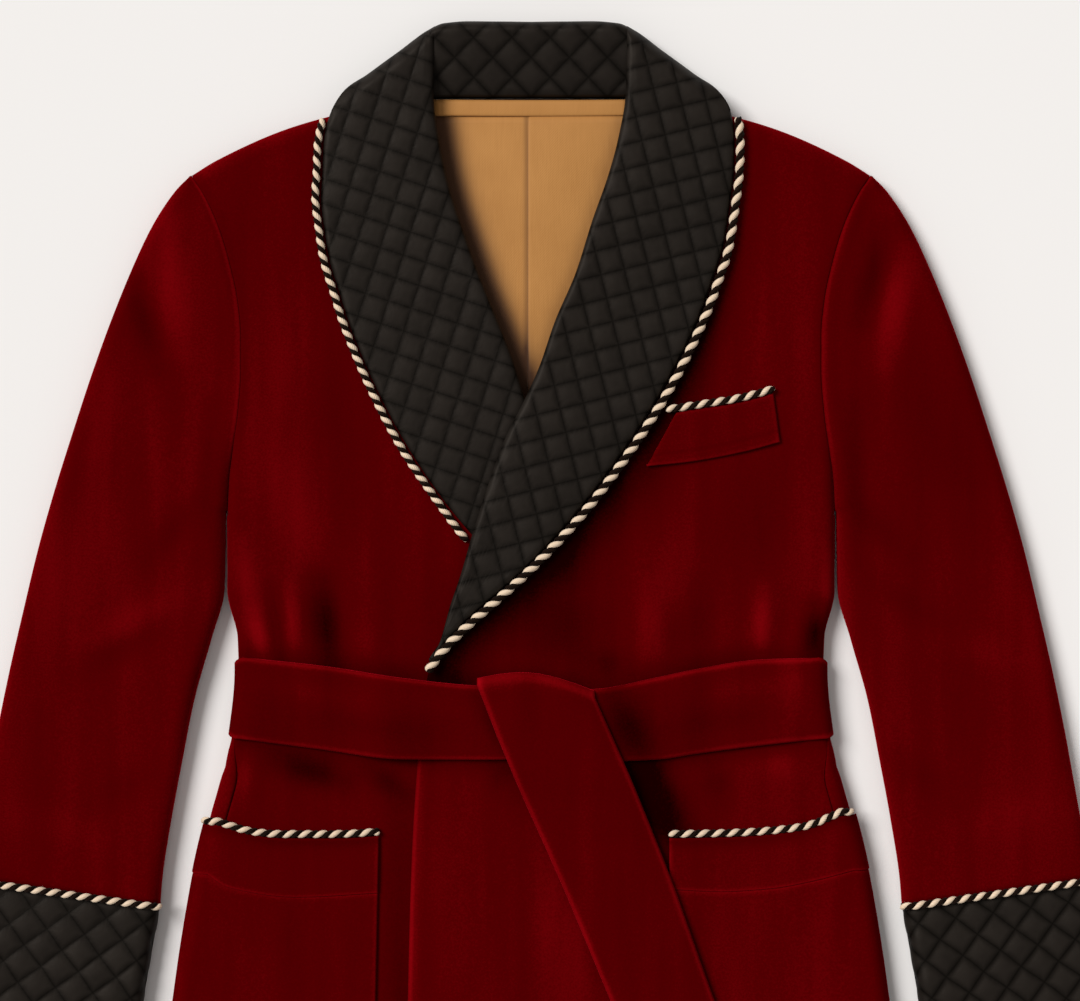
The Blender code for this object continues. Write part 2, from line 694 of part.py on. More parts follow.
def cuff_under(side):
    """Make the lower half of one cuff, flat on the surface."""
    steps = (0.0, 0.05, 0.1, 0.5, 0.9, 0.95, 1.0)
    grids = []
    for depth in (0.0, CUFF_CLOTH):
        grids.append([[cuff_point(side, across, part, depth, -1.0) for across in steps]
                      for part in (0.0, 0.5, 1.0)])
    name = "cuff_left_under" if side == LEFT else "cuff_right_under"
    return wall(name, grids[0], grids[1], "satin")


def lining_half(side):
    """Make one half of the back lining, where it shows in the neck; the left one has the pleat."""
    outer_x = side * LINING_HALF
    if side == LEFT:
        columns = [(PLEAT_X, PLEAT_RISE), (11.0, PLEAT_RISE), (15.5, 0.0), (50.0, 0.0), (outer_x, 0.0)]
    else:
        columns = [(8.0, 0.0), (PLEAT_X, 0.0), (-50.0, 0.0), (outer_x, 0.0)]
    base = CLOTH + LAY_GAP
    rows = [LINING_TOP, 80.0, 160.0, LINING_END]
    outer = [[(x, down, base + raised + LINING_CLOTH) for x, raised in columns] for down in rows]
    inner = [[(x, down, base + raised) for x, raised in columns] for down in rows]
    return wall("lining_left" if side == LEFT else "lining_right", outer, inner, "lining")


def neck_strip():
    """Make the narrow strip of lining cloth along the neck seam."""
    base = CLOTH + LAY_GAP
    outer, inner = [], []
    for down in STRIP_ROWS:
        columns = [mix(-STRIP_HALF, STRIP_HALF, part / 6.0) for part in range(7)]
        outer.append([(x, down, base + STRIP_CLOTH) for x in columns])
        inner.append([(x, down, base) for x in columns])
    return wall("lining_neck_strip", outer, inner, "lining")


def collar_roll(x, down):
    """Return how far a point lies inside the collar's upper outline."""
    half = abs(x)
    slope = (COLLAR_TOP.at(half + 4.0) - COLLAR_TOP.at(half - 4.0)) / 8.0 if half > 6 else 0.0
    return (down - COLLAR_TOP.at(half)) / sqrt(1.0 + slope * slope)


def crossing_distance(x, down):
    """Return how far a point lies to the outer side of the over front's roll edge."""
    return (OVER_EDGE.at(down) - x) * 0.93


def collar_half(side):
    """Make one quilted lapel with its part of the collar."""
    edge = OVER_EDGE if side == LEFT else UNDER_EDGE
    line = OVER_CORD if side == LEFT else UNDER_CORD
    clear = CORD_DIAMETER / 2.0 + LAY_GAP
    rolls = [row for row in edge.rows if row[0] <= (394.0 if side == LEFT else 214.0)]
    outline = [(x, COLLAR_TOP.at(abs(x)) if down < -53 else down) for down, x in rolls]
    if side == LEFT:
        outline.append((-67.9, 395.4))
    else:
        outline += [(2.0, 226.0), (-9.0, 252.0), (-21.0, 284.0), (-31.0, 308.0), (-38.0, 309.0)]
    for down, x in reversed(line.rows):
        if side == LEFT and down > 397 or side == RIGHT and down > 300:
            continue
        slope = (line.at(down + 3.0) - line.at(down - 3.0)) / 6.0
        length = sqrt(1.0 + slope * slope)
        outline.append((x - side * clear / length, down + side * clear * slope / length))
    outline += [(side * x, COLLAR_TOP.at(x)) for x in (138.5, 131.2, 112.7, 93.2, 76.0)]
    tilt = radians(14.0 if side == LEFT else 18.0)
    directions = (side * tilt * -1.0, QUARTER_TURN - side * tilt)
    slope_normal = Vector((side * -0.6, 0.8)).normalized()
    extra = []
    for inset in (3.5, 8.0):
        point = (side * 100.0 + slope_normal.x * inset, -28.3 + slope_normal.y * inset)
        extra.append((point, tuple(slope_normal)))

    def surface(x, down, outside, raised):
        """Map a flat place to the collar's surface, rolling down at its upper outline."""
        full = front_height(side, x) + LAY_GAP + COLLAR_CLOTH
        inset = collar_roll(x, down) if down < 24.0 else COLLAR_ROLL
        part = clamp(inset / COLLAR_ROLL)
        low = BODY_TOP / 2.0 + CLOTH
        height = mix(low, full, smooth_step(112.0, 136.0, abs(x)))
        z = height + (full - height) * sqrt(1.0 - (1.0 - part) ** 2)
        if not outside:
            return x, down, z - COLLAR_CLOTH
        shown = raised
        if side == RIGHT and down > 180.0:
            shown *= clamp((crossing_distance(x, down) - 5.0) / 8.0)
        return x, down, z + QUILT_RISE * shown

    name = "collar_left" if side == LEFT else "collar_right"
    return quilted_wall(name, outline, directions, QUILT_CELL, extra, surface, "satin")


def collar_stand():
    """Make the quilted stand at the back of the neck, seen inside the collar."""
    width = 2.0 * NECK_HALF - 2.0
    outline = [(0.0, 0.0), (width, 0.0), (width, STAND_LENGTH), (0.0, STAND_LENGTH)]

    def surface(u, v, outside, raised):
        """Map the flat stand to its slope, up from the neck seam and over the top fold."""
        x = u - width / 2.0
        top = COLLAR_TOP.at(abs(x))
        down = mix(top, -LAY_GAP, v / STAND_LENGTH)
        slope_height = mix(STAND_HIGH, STAND_LOW, clamp((down + 44.0) / 44.0))
        part = clamp((down - top) / STAND_ROLL)
        z = STAND_RIM + (slope_height - STAND_RIM) * sqrt(1.0 - (1.0 - part) ** 2)
        return x, down, z + (CUFF_RISE * raised if outside else -COLLAR_CLOTH)

    directions = (radians(45.0), radians(-45.0))
    extra = [((0.0, bend), (0.0, 1.0)) for bend in (3.0, STAND_ROLL)]
    return quilted_wall("collar_stand", outline, directions, CUFF_CELL, extra, surface, "satin")


def collar_fall():
    """Make the collar's fall at the back, flat on the surface and turned up at its outline."""
    radius = FALL_RADIUS
    columns = [mix(-FALL_HALF, FALL_HALF, part / 18.0) for part in range(19)]
    arcs = [-radius * QUARTER_TURN * part for part in (0.0, 0.34, 0.67, 1.0)]
    grids = []
    for depth in (0.0, COLLAR_CLOTH):
        grid = []
        for arc in arcs + [None]:
            row = []
            for x in columns:
                edge = COLLAR_TOP.at(abs(x))
                bottom = shoulder_down(x) - SEAM_GAP / 2.0
                room = min(1.0, (bottom - edge - 2.0) / radius)
                if arc is None:
                    row.append((x, bottom, depth))
                    continue
                inset, rise = turn_profile(arc, radius, depth)
                row.append((x, edge + inset * room, radius + rise))
            grid.append(row)
        grids.append(grid)
    return wall("collar_fall", grids[0], grids[1], "satin")


def surface_reach(side, half_width, down, stand_off):
    """Return the point a distance off the body's surface, round its side where it turns."""
    radius = turn(down)
    outline = BODY_SIDE.at(down)
    flat = outline - radius
    if half_width <= flat:
        x = side * half_width
        return x, down, front_height(side, x) + stand_off
    angle = (half_width - flat) / radius
    reach = flat + (radius + stand_off) * sin(angle)
    return side * reach, down, floor_raise(down) + radius + (radius + stand_off) * cos(angle)


def laid_columns(down, inner, turned, count):
    """Return unrolled half widths from the turned side to the inner edge of a laid piece."""
    radius = turn(down)
    flat = BODY_SIDE.at(down) - radius
    columns = [flat + radius * radians(turned) * part for part in (1.0, 0.66, 0.33, 0.0)]
    return columns + [mix(flat, inner, part / count) for part in range(1, count + 1)]


def pocket_piece(side, name, top, bottom, thickness, rows):
    """Make a pocket or its band, laid on the front and wrapped round the side."""
    grids = []
    for offset in (LAY_GAP + thickness, LAY_GAP):
        grid = []
        for index in range(rows + 1):
            part = index / rows
            row = []
            middle = mix(top.at(170.0), bottom.at(170.0), part)
            inner = mix(*POCKET_INNER[side], part)
            for half in laid_columns(middle, inner, 80.0, 5):
                reach = min(half, BODY_SIDE.at(middle))
                down = mix(top.at(reach), bottom.at(reach), part)
                shift = half - (BODY_SIDE.at(middle) - turn(middle))
                own = BODY_SIDE.at(down) - turn(down) + shift if shift > -0.01 else half
                row.append(surface_reach(side, own, down, offset))
            grid.append(row)
        grids.append(grid)
    return wall(name, grids[0], grids[1], "velvet")


def shifted(table, distance):
    """Return a copy of an edge line moved down by a distance."""
    return Table(table.columns, [(row[0], row[1] + distance) for row in table.rows])


def hip_pocket(side):
    """Make a hip pocket, its band and its cord."""
    word = "left" if side == LEFT else "right"
    top, seam = POCKET_TOPS[side], BAND_SEAMS[side]
    band_top = shifted(top, CORD_DIAMETER / 2.0 + 3.0 * LAY_GAP)
    pocket_piece(side, "pocket_band_" + word, band_top, shifted(seam, -SEAM_GAP / 2.0), BAND_CLOTH, 3)
    pocket_piece(side, "pocket_" + word, shifted(seam, SEAM_GAP / 2.0), POCKET_FLOOR, CLOTH, 5)
    stand = LAY_GAP + CORD_DIAMETER / 2.0
    inner = top.rows[0][0] + (1.0 if side == LEFT else 0.0)
    points = []
    down = top.at(228.0)
    radius = turn(down)
    flat = BODY_SIDE.at(down) - radius
    for angle in (82.0, 55.0, 28.0, 4.0):
        points.append(surface_reach(side, flat + radius * radians(angle), down, stand))
    for part in range(1, 7):
        half = mix(flat, inner, part / 6.0)
        points.append(surface_reach(side, half, top.at(half), stand))
    cord("cord_pocket_" + word, points)


def welt_grids():
    """Return the outer and the inner rows of the breast welt."""
    outer, inner = [], []
    for part in (0.0, 0.5, 1.0):
        outer_row, inner_row = [], []
        for top_x, bottom_x in WELT_COLUMNS:
            top_down = WELT_TOP.at(top_x) + CORD_DIAMETER / 2.0 + SEAM_GAP
            x = mix(top_x, bottom_x, part)
            down = mix(top_down, WELT_BOTTOM.at(bottom_x), part)
            base = front_height(LEFT, x) + LAY_GAP
            outer_row.append((x, down, base + CLOTH + 0.3))
            inner_row.append((x, down, base))
        outer.append(outer_row)
        inner.append(inner_row)
    return outer, inner


def breast_pocket():
    """Make the breast welt clear of the collar cord, and its own cord."""
    clear = CORD_DIAMETER / 2.0 + SEAM_GAP + LAY_GAP
    outer, inner = welt_grids()
    for grid in (outer, inner):
        for row in grid:
            x, down, z = row[0]
            row[0] = (max(x, OVER_CORD.at(down) + clear * 1.25), down, z)
            x, down, z = row[1]
            row[1] = (max(x, row[0][0] + 6.0), down, z)
    wall("breast_welt", outer, inner, "velvet")
    stand = LAY_GAP + CORD_DIAMETER / 2.0
    points = []
    for part in range(6):
        x = mix(105.0, 171.5, part / 5.0)
        points.append((x, WELT_TOP.at(x), front_height(LEFT, x) + stand))
    cord("cord_breast_pocket", points)


def collar_cords():
    """Make the two cords along the collar's outer edges."""
    stand = LAY_GAP + CORD_DIAMETER / 2.0
    for side, line, name in ((LEFT, OVER_CORD, "cord_collar_left"), (RIGHT, UNDER_CORD, "cord_collar_right")):
        points = []
        for down, x in line.rows:
            points.append((x, down, front_height(side, x) + stand))
        cord(name, points)


def cuff_cords():
    """Make the cords round the upper side of the cuffs' top lines."""
    radius = BODY_TOP / 2.0
    stand = LAY_GAP + CORD_DIAMETER / 2.0
    start, end = CUFF_TOP
    length = hypot(end[0] - start[0], end[1] - start[1])
    toward = ((end[0] - start[0]) / length, (end[1] - start[1]) / length)
    for side, word in ((LEFT, "left"), (RIGHT, "right")):
        points = []
        for angle in (8.0, 35.0, 62.0, 88.0):
            reach = radius - (radius + stand) * cos(radians(angle))
            points.append((reach, radius + (radius + stand) * sin(radians(angle))))
        middle = [(mix(radius + 6.0, length - radius - 6.0, part / 4.0), BODY_TOP + stand) for part in range(5)]
        mirrored = [(length - reach, z) for reach, z in reversed(points)]
        route = [(side * (start[0] + toward[0] * reach), start[1] + toward[1] * reach, z)
                 for reach, z in points + middle + mirrored]
        cord("cord_cuff_" + word, route)


def strap_height(side, x):
    """Return the height of the surface that a belt strap lies on."""
    if side == LEFT:
        return BODY_TOP + overlap_lift(x)
    return BODY_TOP + OVERLAP_LIFT * clamp((x + 124.0) / 34.0)


def belt_strap(side):
    """Make one strap, from under the hanging end across the front and round the side to the surface."""
    table, flats, thickness = STRAPS[side], STRAP_COLUMNS[side], BELT_CLOTH
    outer_radius = (BODY_TOP + LAY_GAP + thickness) / 2.0
    across = (0.0, 0.334, 0.666, 1.0)
    grids = []
    for depth in (0.0, thickness):
        grid = []
        for part in across:
            row = []
            for x in flats:
                down = mix(table.at(x, "top"), table.at(x, "bottom"), part)
                row.append((x, down, strap_height(side, x) + LAY_GAP + thickness - depth))
            down = mix(BELT_TOP, BELT_BOTTOM, part)
            outline = BODY_SIDE.at(down) + LAY_GAP + thickness
            arcs = [outer_radius * QUARTER_TURN * step / 4.0 for step in range(4, -5, -1)]
            for arc in arcs + [-outer_radius * QUARTER_TURN - BELT_OVERHANG]:
                inset, rise = turn_profile(arc, outer_radius, depth)
                row.append((side * (outline - inset), down, outer_radius + rise))
            grid.append(row)
        grids.append(grid)
    return wall("belt_left" if side == LEFT else "belt_right", grids[0], grids[1], "velvet")


def belt_back():
    """Make the belt's run across the back, flat on the surface under the raised body."""
    outer_radius = (BODY_TOP + LAY_GAP + BELT_CLOTH) / 2.0
    outer, inner = [], []
    for part in (0.0, 0.334, 0.666, 1.0):
        down = mix(BELT_TOP, BELT_BOTTOM, part)
        half = BODY_SIDE.at(down) + LAY_GAP + BELT_CLOTH - outer_radius - BELT_OVERHANG - SEAM_GAP
        xs = [mix(-half, half, step / 8.0) for step in range(9)]
        outer.append([(x, down, 0.0) for x in xs])
        inner.append([(x, down, BELT_CLOTH) for x in xs])
    return wall("belt_back", outer, inner, "velvet")


def belt_tail(over):
    """Make one hanging end of the belt; the over one folds across the straps' top edges."""
    lower = 0.0 if over else BELT_CLOTH + LAY_GAP
    columns = [0.0, 0.2, 0.4, 0.6, 0.8, 1.0]
    last = TAIL_LENGTHS[0 if over else 1]
    parts = [0.0, 0.06, 0.12, 0.17, 0.22, 0.31, 0.355, 0.4, 0.53, 0.66, 0.83]
    parts = [part * last for part in parts] + [last]
    grids = []
    for depth in (0.0, BELT_CLOTH):
        grid = []
        rows = [("fold", angle) for angle in (6.0, 34.0, 62.0)] if over else []
        rows += [("run", part) for part in (parts if over else parts[1:])]
        for kind, value in rows:
            part = value if kind == "run" else 0.0
            row = []
            for across in columns:
                inset = 0.04 if not over else 0.0
                spread = mix(inset, 1.0 - inset, across)
                x = mix(TAIL.at(part, "left_x"), TAIL.at(part, "right_x"), spread)
                down = mix(TAIL.at(part, "left_down"), TAIL.at(part, "right_down"), spread)
                crown = TAIL_CROWN * sin(pi * clamp(across * 0.9 + 0.1)) * (1.0 - smooth_step(0.0, 0.12, part))
                down -= crown
                base = BODY_TOP + overlap_lift(x)
                stand = TAIL.at(part, "stand_off") - lower
                z = base + stand - depth
                if kind == "fold":
                    angle = radians(value)
                    down -= (TAIL_FOLD - depth) * cos(angle)
                    z = base + stand - TAIL_FOLD + (TAIL_FOLD - depth) * sin(angle)
                row.append((x, down, z))
            grid.append(row)
        grids.append(grid)
    return wall("belt_tail_over" if over else "belt_tail_under", grids[0], grids[1], "velvet")


def build():
    """Build the jacket."""
    for item in list(bpy.data.objects):
        bpy.data.objects.remove(item)
    collection = bpy.data.collections.new("smoking_jacket")
    bpy.context.scene.collection.children.link(collection)
    for name in COLOURS.column("name"):
        make_material(name)
    back_panel()
    neck_strip()
    collar_fall()
    collar_stand()
    for side in (LEFT, RIGHT):
        lining_half(side)
        side_panel(side)
        front_panel(side)
        collar_half(side)
        for upper in (True, False):
            sleeve_panel(side, upper)
        cuff_top(side)
        cuff_under(side)
        hip_pocket(side)
        belt_strap(side)
    breast_pocket()
    collar_cords()
    cuff_cords()
    belt_back()
    for over in (True, False):
        belt_tail(over)


build()
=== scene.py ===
"""Looks of a smoking jacket that lies flat and tied: velvet, quilted satin, lining and twisted cord.

Sizes are in millimetres in the tables and are turned to metres when a mesh is made. x runs to the right,
"down" runs from the neck seam towards the hem, and z is height above the surface.
"""

import logging
from dataclasses import dataclass
from enum import Enum
from math import cos, exp, hypot, pi, radians, sin, sqrt
from typing import Callable, Sequence, Union

import bmesh
import bpy
import numpy as np
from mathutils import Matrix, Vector


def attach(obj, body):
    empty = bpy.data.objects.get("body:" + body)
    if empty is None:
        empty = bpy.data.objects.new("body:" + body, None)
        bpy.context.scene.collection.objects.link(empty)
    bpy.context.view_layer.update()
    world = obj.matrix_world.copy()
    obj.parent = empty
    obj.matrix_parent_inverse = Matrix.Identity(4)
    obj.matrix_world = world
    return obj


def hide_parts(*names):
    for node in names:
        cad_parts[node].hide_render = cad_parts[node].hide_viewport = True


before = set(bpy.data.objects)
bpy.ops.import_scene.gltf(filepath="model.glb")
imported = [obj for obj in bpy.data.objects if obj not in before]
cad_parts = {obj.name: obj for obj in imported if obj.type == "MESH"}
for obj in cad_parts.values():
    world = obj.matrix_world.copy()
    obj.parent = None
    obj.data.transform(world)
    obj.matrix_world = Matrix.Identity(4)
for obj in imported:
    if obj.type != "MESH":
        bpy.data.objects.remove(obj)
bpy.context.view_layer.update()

LOG = logging.getLogger("jacket")

MM = 0.001
NECK_TO_ORIGIN = 373.0
QUARTER = pi / 2.0
SHOULDER_DOWN = 56.0
SEAM_GAP = 0.15
BODY = "root"

Point = tuple[float, float, float]
Spot = tuple[float, ...]
Place = Callable[[float, float], Spot]


class Side(Enum):
    """A side of the jacket, as the wearer has it; the value is the sign of x."""

    LEFT = 1
    RIGHT = -1

    @property
    def word(self) -> str:
        """Return the side's name in lower case."""
        return self.name.lower()


class Cloth(Enum):
    """The kinds of cloth, named as the record's slots."""

    VELVET = "velvet"
    SATIN = "satin"
    LINING = "lining"
    CORD = "cord"


def clamp(value: float, low: float = 0.0, high: float = 1.0) -> float:
    """Return the value kept between low and high."""
    return max(low, min(high, value))


def mix(first: float, second: float, part: float) -> float:
    """Return the value that lies part of the way from first to second."""
    return first + (second - first) * part


def smooth_step(start: float, end: float, value: float) -> float:
    """Return 0 before start, 1 after end, and a soft step between them."""
    part = clamp((value - start) / (end - start))
    return part * part * (3.0 - 2.0 * part)


def rimmed(step: float) -> list[float]:
    """Return parts from 0 to 1 that lie close together at both ends and a step apart between them."""
    return [0.0, 0.012, 0.03, 0.05] + steps(0.08, 0.92, step) + [0.95, 0.97, 0.988, 1.0]


def bell(distance: float, width: float) -> float:
    """Return 1 at no distance, falling softly to nothing beyond about twice the width."""
    return exp(-(distance / width) ** 2)


def steps(start: float, end: float, size: float) -> list[float]:
    """Return even values from start to end, about size apart.

    Args:
        start: the first value.
        end: the last value.
        size: the wanted distance between two values.

    Returns:
        The values, both ends among them.
    """
    count = max(1, round(abs(end - start) / size))
    return [mix(start, end, index / count) for index in range(count + 1)]


class Graph:
    """A smooth line through a short table of positions and values, which never overshoots."""

    def __init__(self, *rows: tuple[float, float]) -> None:
        """Keep the rows and work out the slope at each."""
        self.keys = [row[0] for row in rows]
        self.values = [row[1] for row in rows]
        gaps = [b - a for a, b in zip(self.keys, self.keys[1:])]
        rises = [(b - a) / gap for a, b, gap in zip(self.values, self.values[1:], gaps)]
        self.slopes = [rises[0]]
        for before, after in zip(rises, rises[1:]):
            level = before * after <= 0.0
            self.slopes.append(0.0 if level else 2.0 * before * after / (before + after))
        self.slopes.append(rises[-1])

    @classmethod
    def even(cls, *values: float) -> "Graph":
        """Return a line through values at 0, 1, 2 and so on."""
        return cls(*enumerate(values))

    def at(self, position: float) -> float:
        """Return the value at a position, or that of the nearest end."""
        keys, values = self.keys, self.values
        if position <= keys[0]:
            return values[0]
        if position >= keys[-1]:
            return values[-1]
        index = 0
        while keys[index + 1] < position:
            index += 1
        span = keys[index + 1] - keys[index]
        part = (position - keys[index]) / span
        rise = values[index + 1] - values[index]
        start, end = self.slopes[index] * span, self.slopes[index + 1] * span
        bend = part * (1.0 - part)
        return values[index] + rise * part + bend * ((1.0 - part) * (start - rise) - part * (end - rise))


@dataclass(frozen=True)
class Crease:
    """A soft ridge, or a trough where the rise is negative, between two places on the cloth, with painted
    shade (negative) or painted highlight (positive) along it.
    """

    x: float
    down: float
    end_x: float
    end_down: float
    rise: float
    width: float
    # Painted shade where negative, painted highlight where positive.
    shade: float = 0.0

    def share(self, x: float, down: float) -> float:
        """Return how much of the crease is felt at a place, up to 1 along its middle."""
        run_x, run_down = self.end_x - self.x, self.end_down - self.down
        length = run_x * run_x + run_down * run_down
        along = clamp(((x - self.x) * run_x + (down - self.down) * run_down) / length)
        away = hypot(x - self.x - run_x * along, down - self.down - run_down * along)
        if away > self.width * 2.4:
            return 0.0
        return bell(away, self.width) * (0.35 + 0.65 * sin(pi * clamp(along, 0.06, 0.94)))


def crease_table(*rows: tuple[float, ...]) -> tuple[Crease, ...]:
    """Return creases for rows of their values."""
    return tuple(Crease(*row) for row in rows)


def creased(creases: Sequence[Crease], x: float, down: float) -> tuple[float, float]:
    """Return the height that creases add at a place, and the painted shade or highlight they add there."""
    height, shade = 0.0, 0.0
    for crease in creases:
        share = crease.share(x, down)
        height += crease.rise * share
        shade += crease.shade * share
    return height, shade


@dataclass(frozen=True)
class Form:
    """The jacket's shape as it lies, shared by all its pieces. All sizes are in millimetres."""

    top: float = 18.0
    cloth: float = 2.2
    waist_raise: float = 3.0
    overlap: float = 5.8
    lift_start: float = 150.0
    lay_gap: float = 0.4
    underarm: float = 294.0
    hem: float = 800.0
    side_flat: float = 4.0
    seam_angle: float = radians(25.0)
    cord: float = 7.3

    body_side = Graph(
        (290, 216.4), (350, 216.4), (386, 208.9), (408, 208.0), (452, 212.2), (472, 217.4), (493, 223.0),
        (515, 229.3), (536, 234.6), (557, 239.0), (600, 246.2), (643, 252.4), (710, 262.5), (800, 277.0))
    armhole = Graph(
        (56, 241.5), (70, 232.2), (94, 221.2), (120, 213.4), (145, 208.1), (170, 205.8), (195, 205.8),
        (224, 207.8), (248, 211.1), (273, 214.4), (294, 215.5))
    shoulder = Graph((68, 0.0), (110, 6.5), (147, 14.6), (177, 23.8), (224, 45.2), (241.5, 56.0))
    front_inner = Graph(
        (56, 0.3), (65, 9.0), (80, 30), (110, 62), (142, 98), (176, 136), (212, 176), (248, 216), (272, 244),
        (294, 270), (325, 308), (350, 340), (372, 366), (386, 384), (398.5, 398.5), (800, 800))
    over_edge = Graph(
        (-54, 68.3), (0, 66.9), (30, 61.9), (56.5, 54.8), (89, 43.4), (127, 31.3), (160, 17.1), (193, 5.7),
        (214, -3.6), (244, -18.5), (273, -29.2), (310, -41.2), (340, -49.8), (361, -56.9), (386, -64.0),
        (406, -72.6), (472, -80.2), (529, -83.9), (586, -86.0), (800, -90.0))
    under_edge = Graph(
        (-54, -68.3), (1, -69.0), (30, -65.4), (64, -58.3), (101, -46.2), (127, -37.0), (150, -27.7),
        (186, -13.5), (214, -4.3), (250, 12.0), (300, 27.0), (350, 36.0), (800, 40.0))
    collar_top = Graph(
        (0, -53.6), (45, -54.0), (62, -52.6), (73.6, -47.3), (93.2, -33.0), (112.7, -18.8), (131.2, -4.6),
        (143.3, 9.6), (146.4, 14.0))

    @property
    def cord_lift(self) -> float:
        """Return how high a cord's middle lies over the cloth under it."""
        return self.lay_gap + self.cord / 2.0

    def armhole_fold(self, down: float) -> float:
        """Return how far the armhole's edge has turned down, 1 at the underarm."""
        return smooth_step(225.0, self.underarm, down)

    def floor_raise(self, down: float) -> float:
        """Return how far the body is raised, where the belt runs under it."""
        return self.waist_raise * smooth_step(372.0, 396.0, down) * (1.0 - smooth_step(460.0, 486.0, down))

    def turn(self, down: float) -> float:
        """Return the radius of the body's side turn."""
        return (self.top - self.floor_raise(down)) / 2.0

    def lift(self, x: float) -> float:
        """Return how far the left front rises to pass over the right one."""
        return self.overlap * clamp((self.lift_start - x) / self.lift_start)

    def front(self, side: Side, x: float) -> float:
        """Return the height of a front's outer surface, away from its turned edges."""
        return self.top + (self.lift(x) if side is Side.LEFT else 0.0)

    def side_seam(self, down: float) -> float:
        """Return the arc position of the seam between side panel and front."""
        radius = self.turn(down)
        low = radius * QUARTER + self.side_flat
        return mix(radius * self.seam_angle, low, smooth_step(440.0, 490.0, down))

    def bend(self, outer: float, half: float, x: float, part: float) -> float:
        """Return how far a row bends to follow the shoulder line, and not at all at the armhole.

        Args:
            outer: the row's distance down at the armhole.
            half: its half width there.
            x: the place along the row.
            part: 0 at the armhole and 1 at the neck.

        Returns:
            The distance down to add.
        """
        fade = clamp(1.0 - (outer - SHOULDER_DOWN) / 90.0)
        own = (self.shoulder.at(half) - SHOULDER_DOWN) * (1.0 - part)
        return fade * (self.shoulder.at(abs(x)) - mix(SHOULDER_DOWN, 0.0, part) - own)

    def edge(self, side: Side) -> Graph:
        """Return the line of a front's edge, which is the collar's roll edge above the belt."""
        return self.over_edge if side is Side.LEFT else self.under_edge


def turned(arc: float, radius: float, stand_off: float = 0.0) -> tuple[float, float]:
    """Return a point of a side turn, for a length along it from mid height.

    Args:
        arc: the length along the outer surface from mid height, upwards positive.
        radius: the turn's outer radius.
        stand_off: how far outside the outer surface the point lies.

    Returns:
        The inset from the outline and the rise above mid height.
    """
    limit = radius * QUARTER
    reach = radius + stand_off
    if abs(arc) > limit:
        return radius + abs(arc) - limit, reach if arc > 0 else -reach
    return radius - reach * cos(arc / radius), reach * sin(arc / radius)


def ripple(x: float, down: float) -> float:
    """Return the slow unevenness of cloth that lies on cloth, in millimetres."""
    slow = sin(x / 41.0 + 1.3 * sin(down / 96.0)) * sin(down / 67.0 + 0.8 * sin(x / 58.0 + 1.0))
    quick = sin(x / 17.0 + down / 31.0 + 1.7 * sin(down / 45.0)) * sin(down / 23.0 - x / 39.0)
    return 0.55 * slow + 0.16 * quick


def soften(distance: float, reach: float, drop: float) -> float:
    """Return how far cloth drops towards a sewn or turned edge that lies at a distance."""
    if distance >= reach:
        return 0.0
    part = 1.0 - max(distance, 0.0) / reach
    return drop * (1.0 - sqrt(max(0.0, 1.0 - part * part)))


class Wire:
    """A shader socket, or a number, that adds Math nodes when numbers are worked out from it."""

    def __init__(self, finish: "ShaderBook", socket: object) -> None:
        """Keep the node tree's owner and the socket."""
        self.finish = finish
        self.socket = socket

    def math(self, operation: str, *values: Union["Wire", float]) -> "Wire":
        """Add a Math node that works on this socket and the values."""
        inputs = {index: value for index, value in enumerate((self, *values))}
        return self.finish.node("ShaderNodeMath", {"operation": operation}, inputs, "Value")

    def __add__(self, other: Union["Wire", float]) -> "Wire":
        """Add."""
        return self.math("ADD", other)

    def __mul__(self, other: Union["Wire", float]) -> "Wire":
        """Multiply."""
        return self.math("MULTIPLY", other)

    def __sub__(self, other: Union["Wire", float]) -> "Wire":
        """Subtract."""
        return self.math("SUBTRACT", other)

    def __rsub__(self, other: float) -> "Wire":
        """Subtract this from a number."""
        return Wire(self.finish, other).math("SUBTRACT", self)

    def __pow__(self, other: float) -> "Wire":
        """Raise to a power."""
        return self.math("POWER", other)


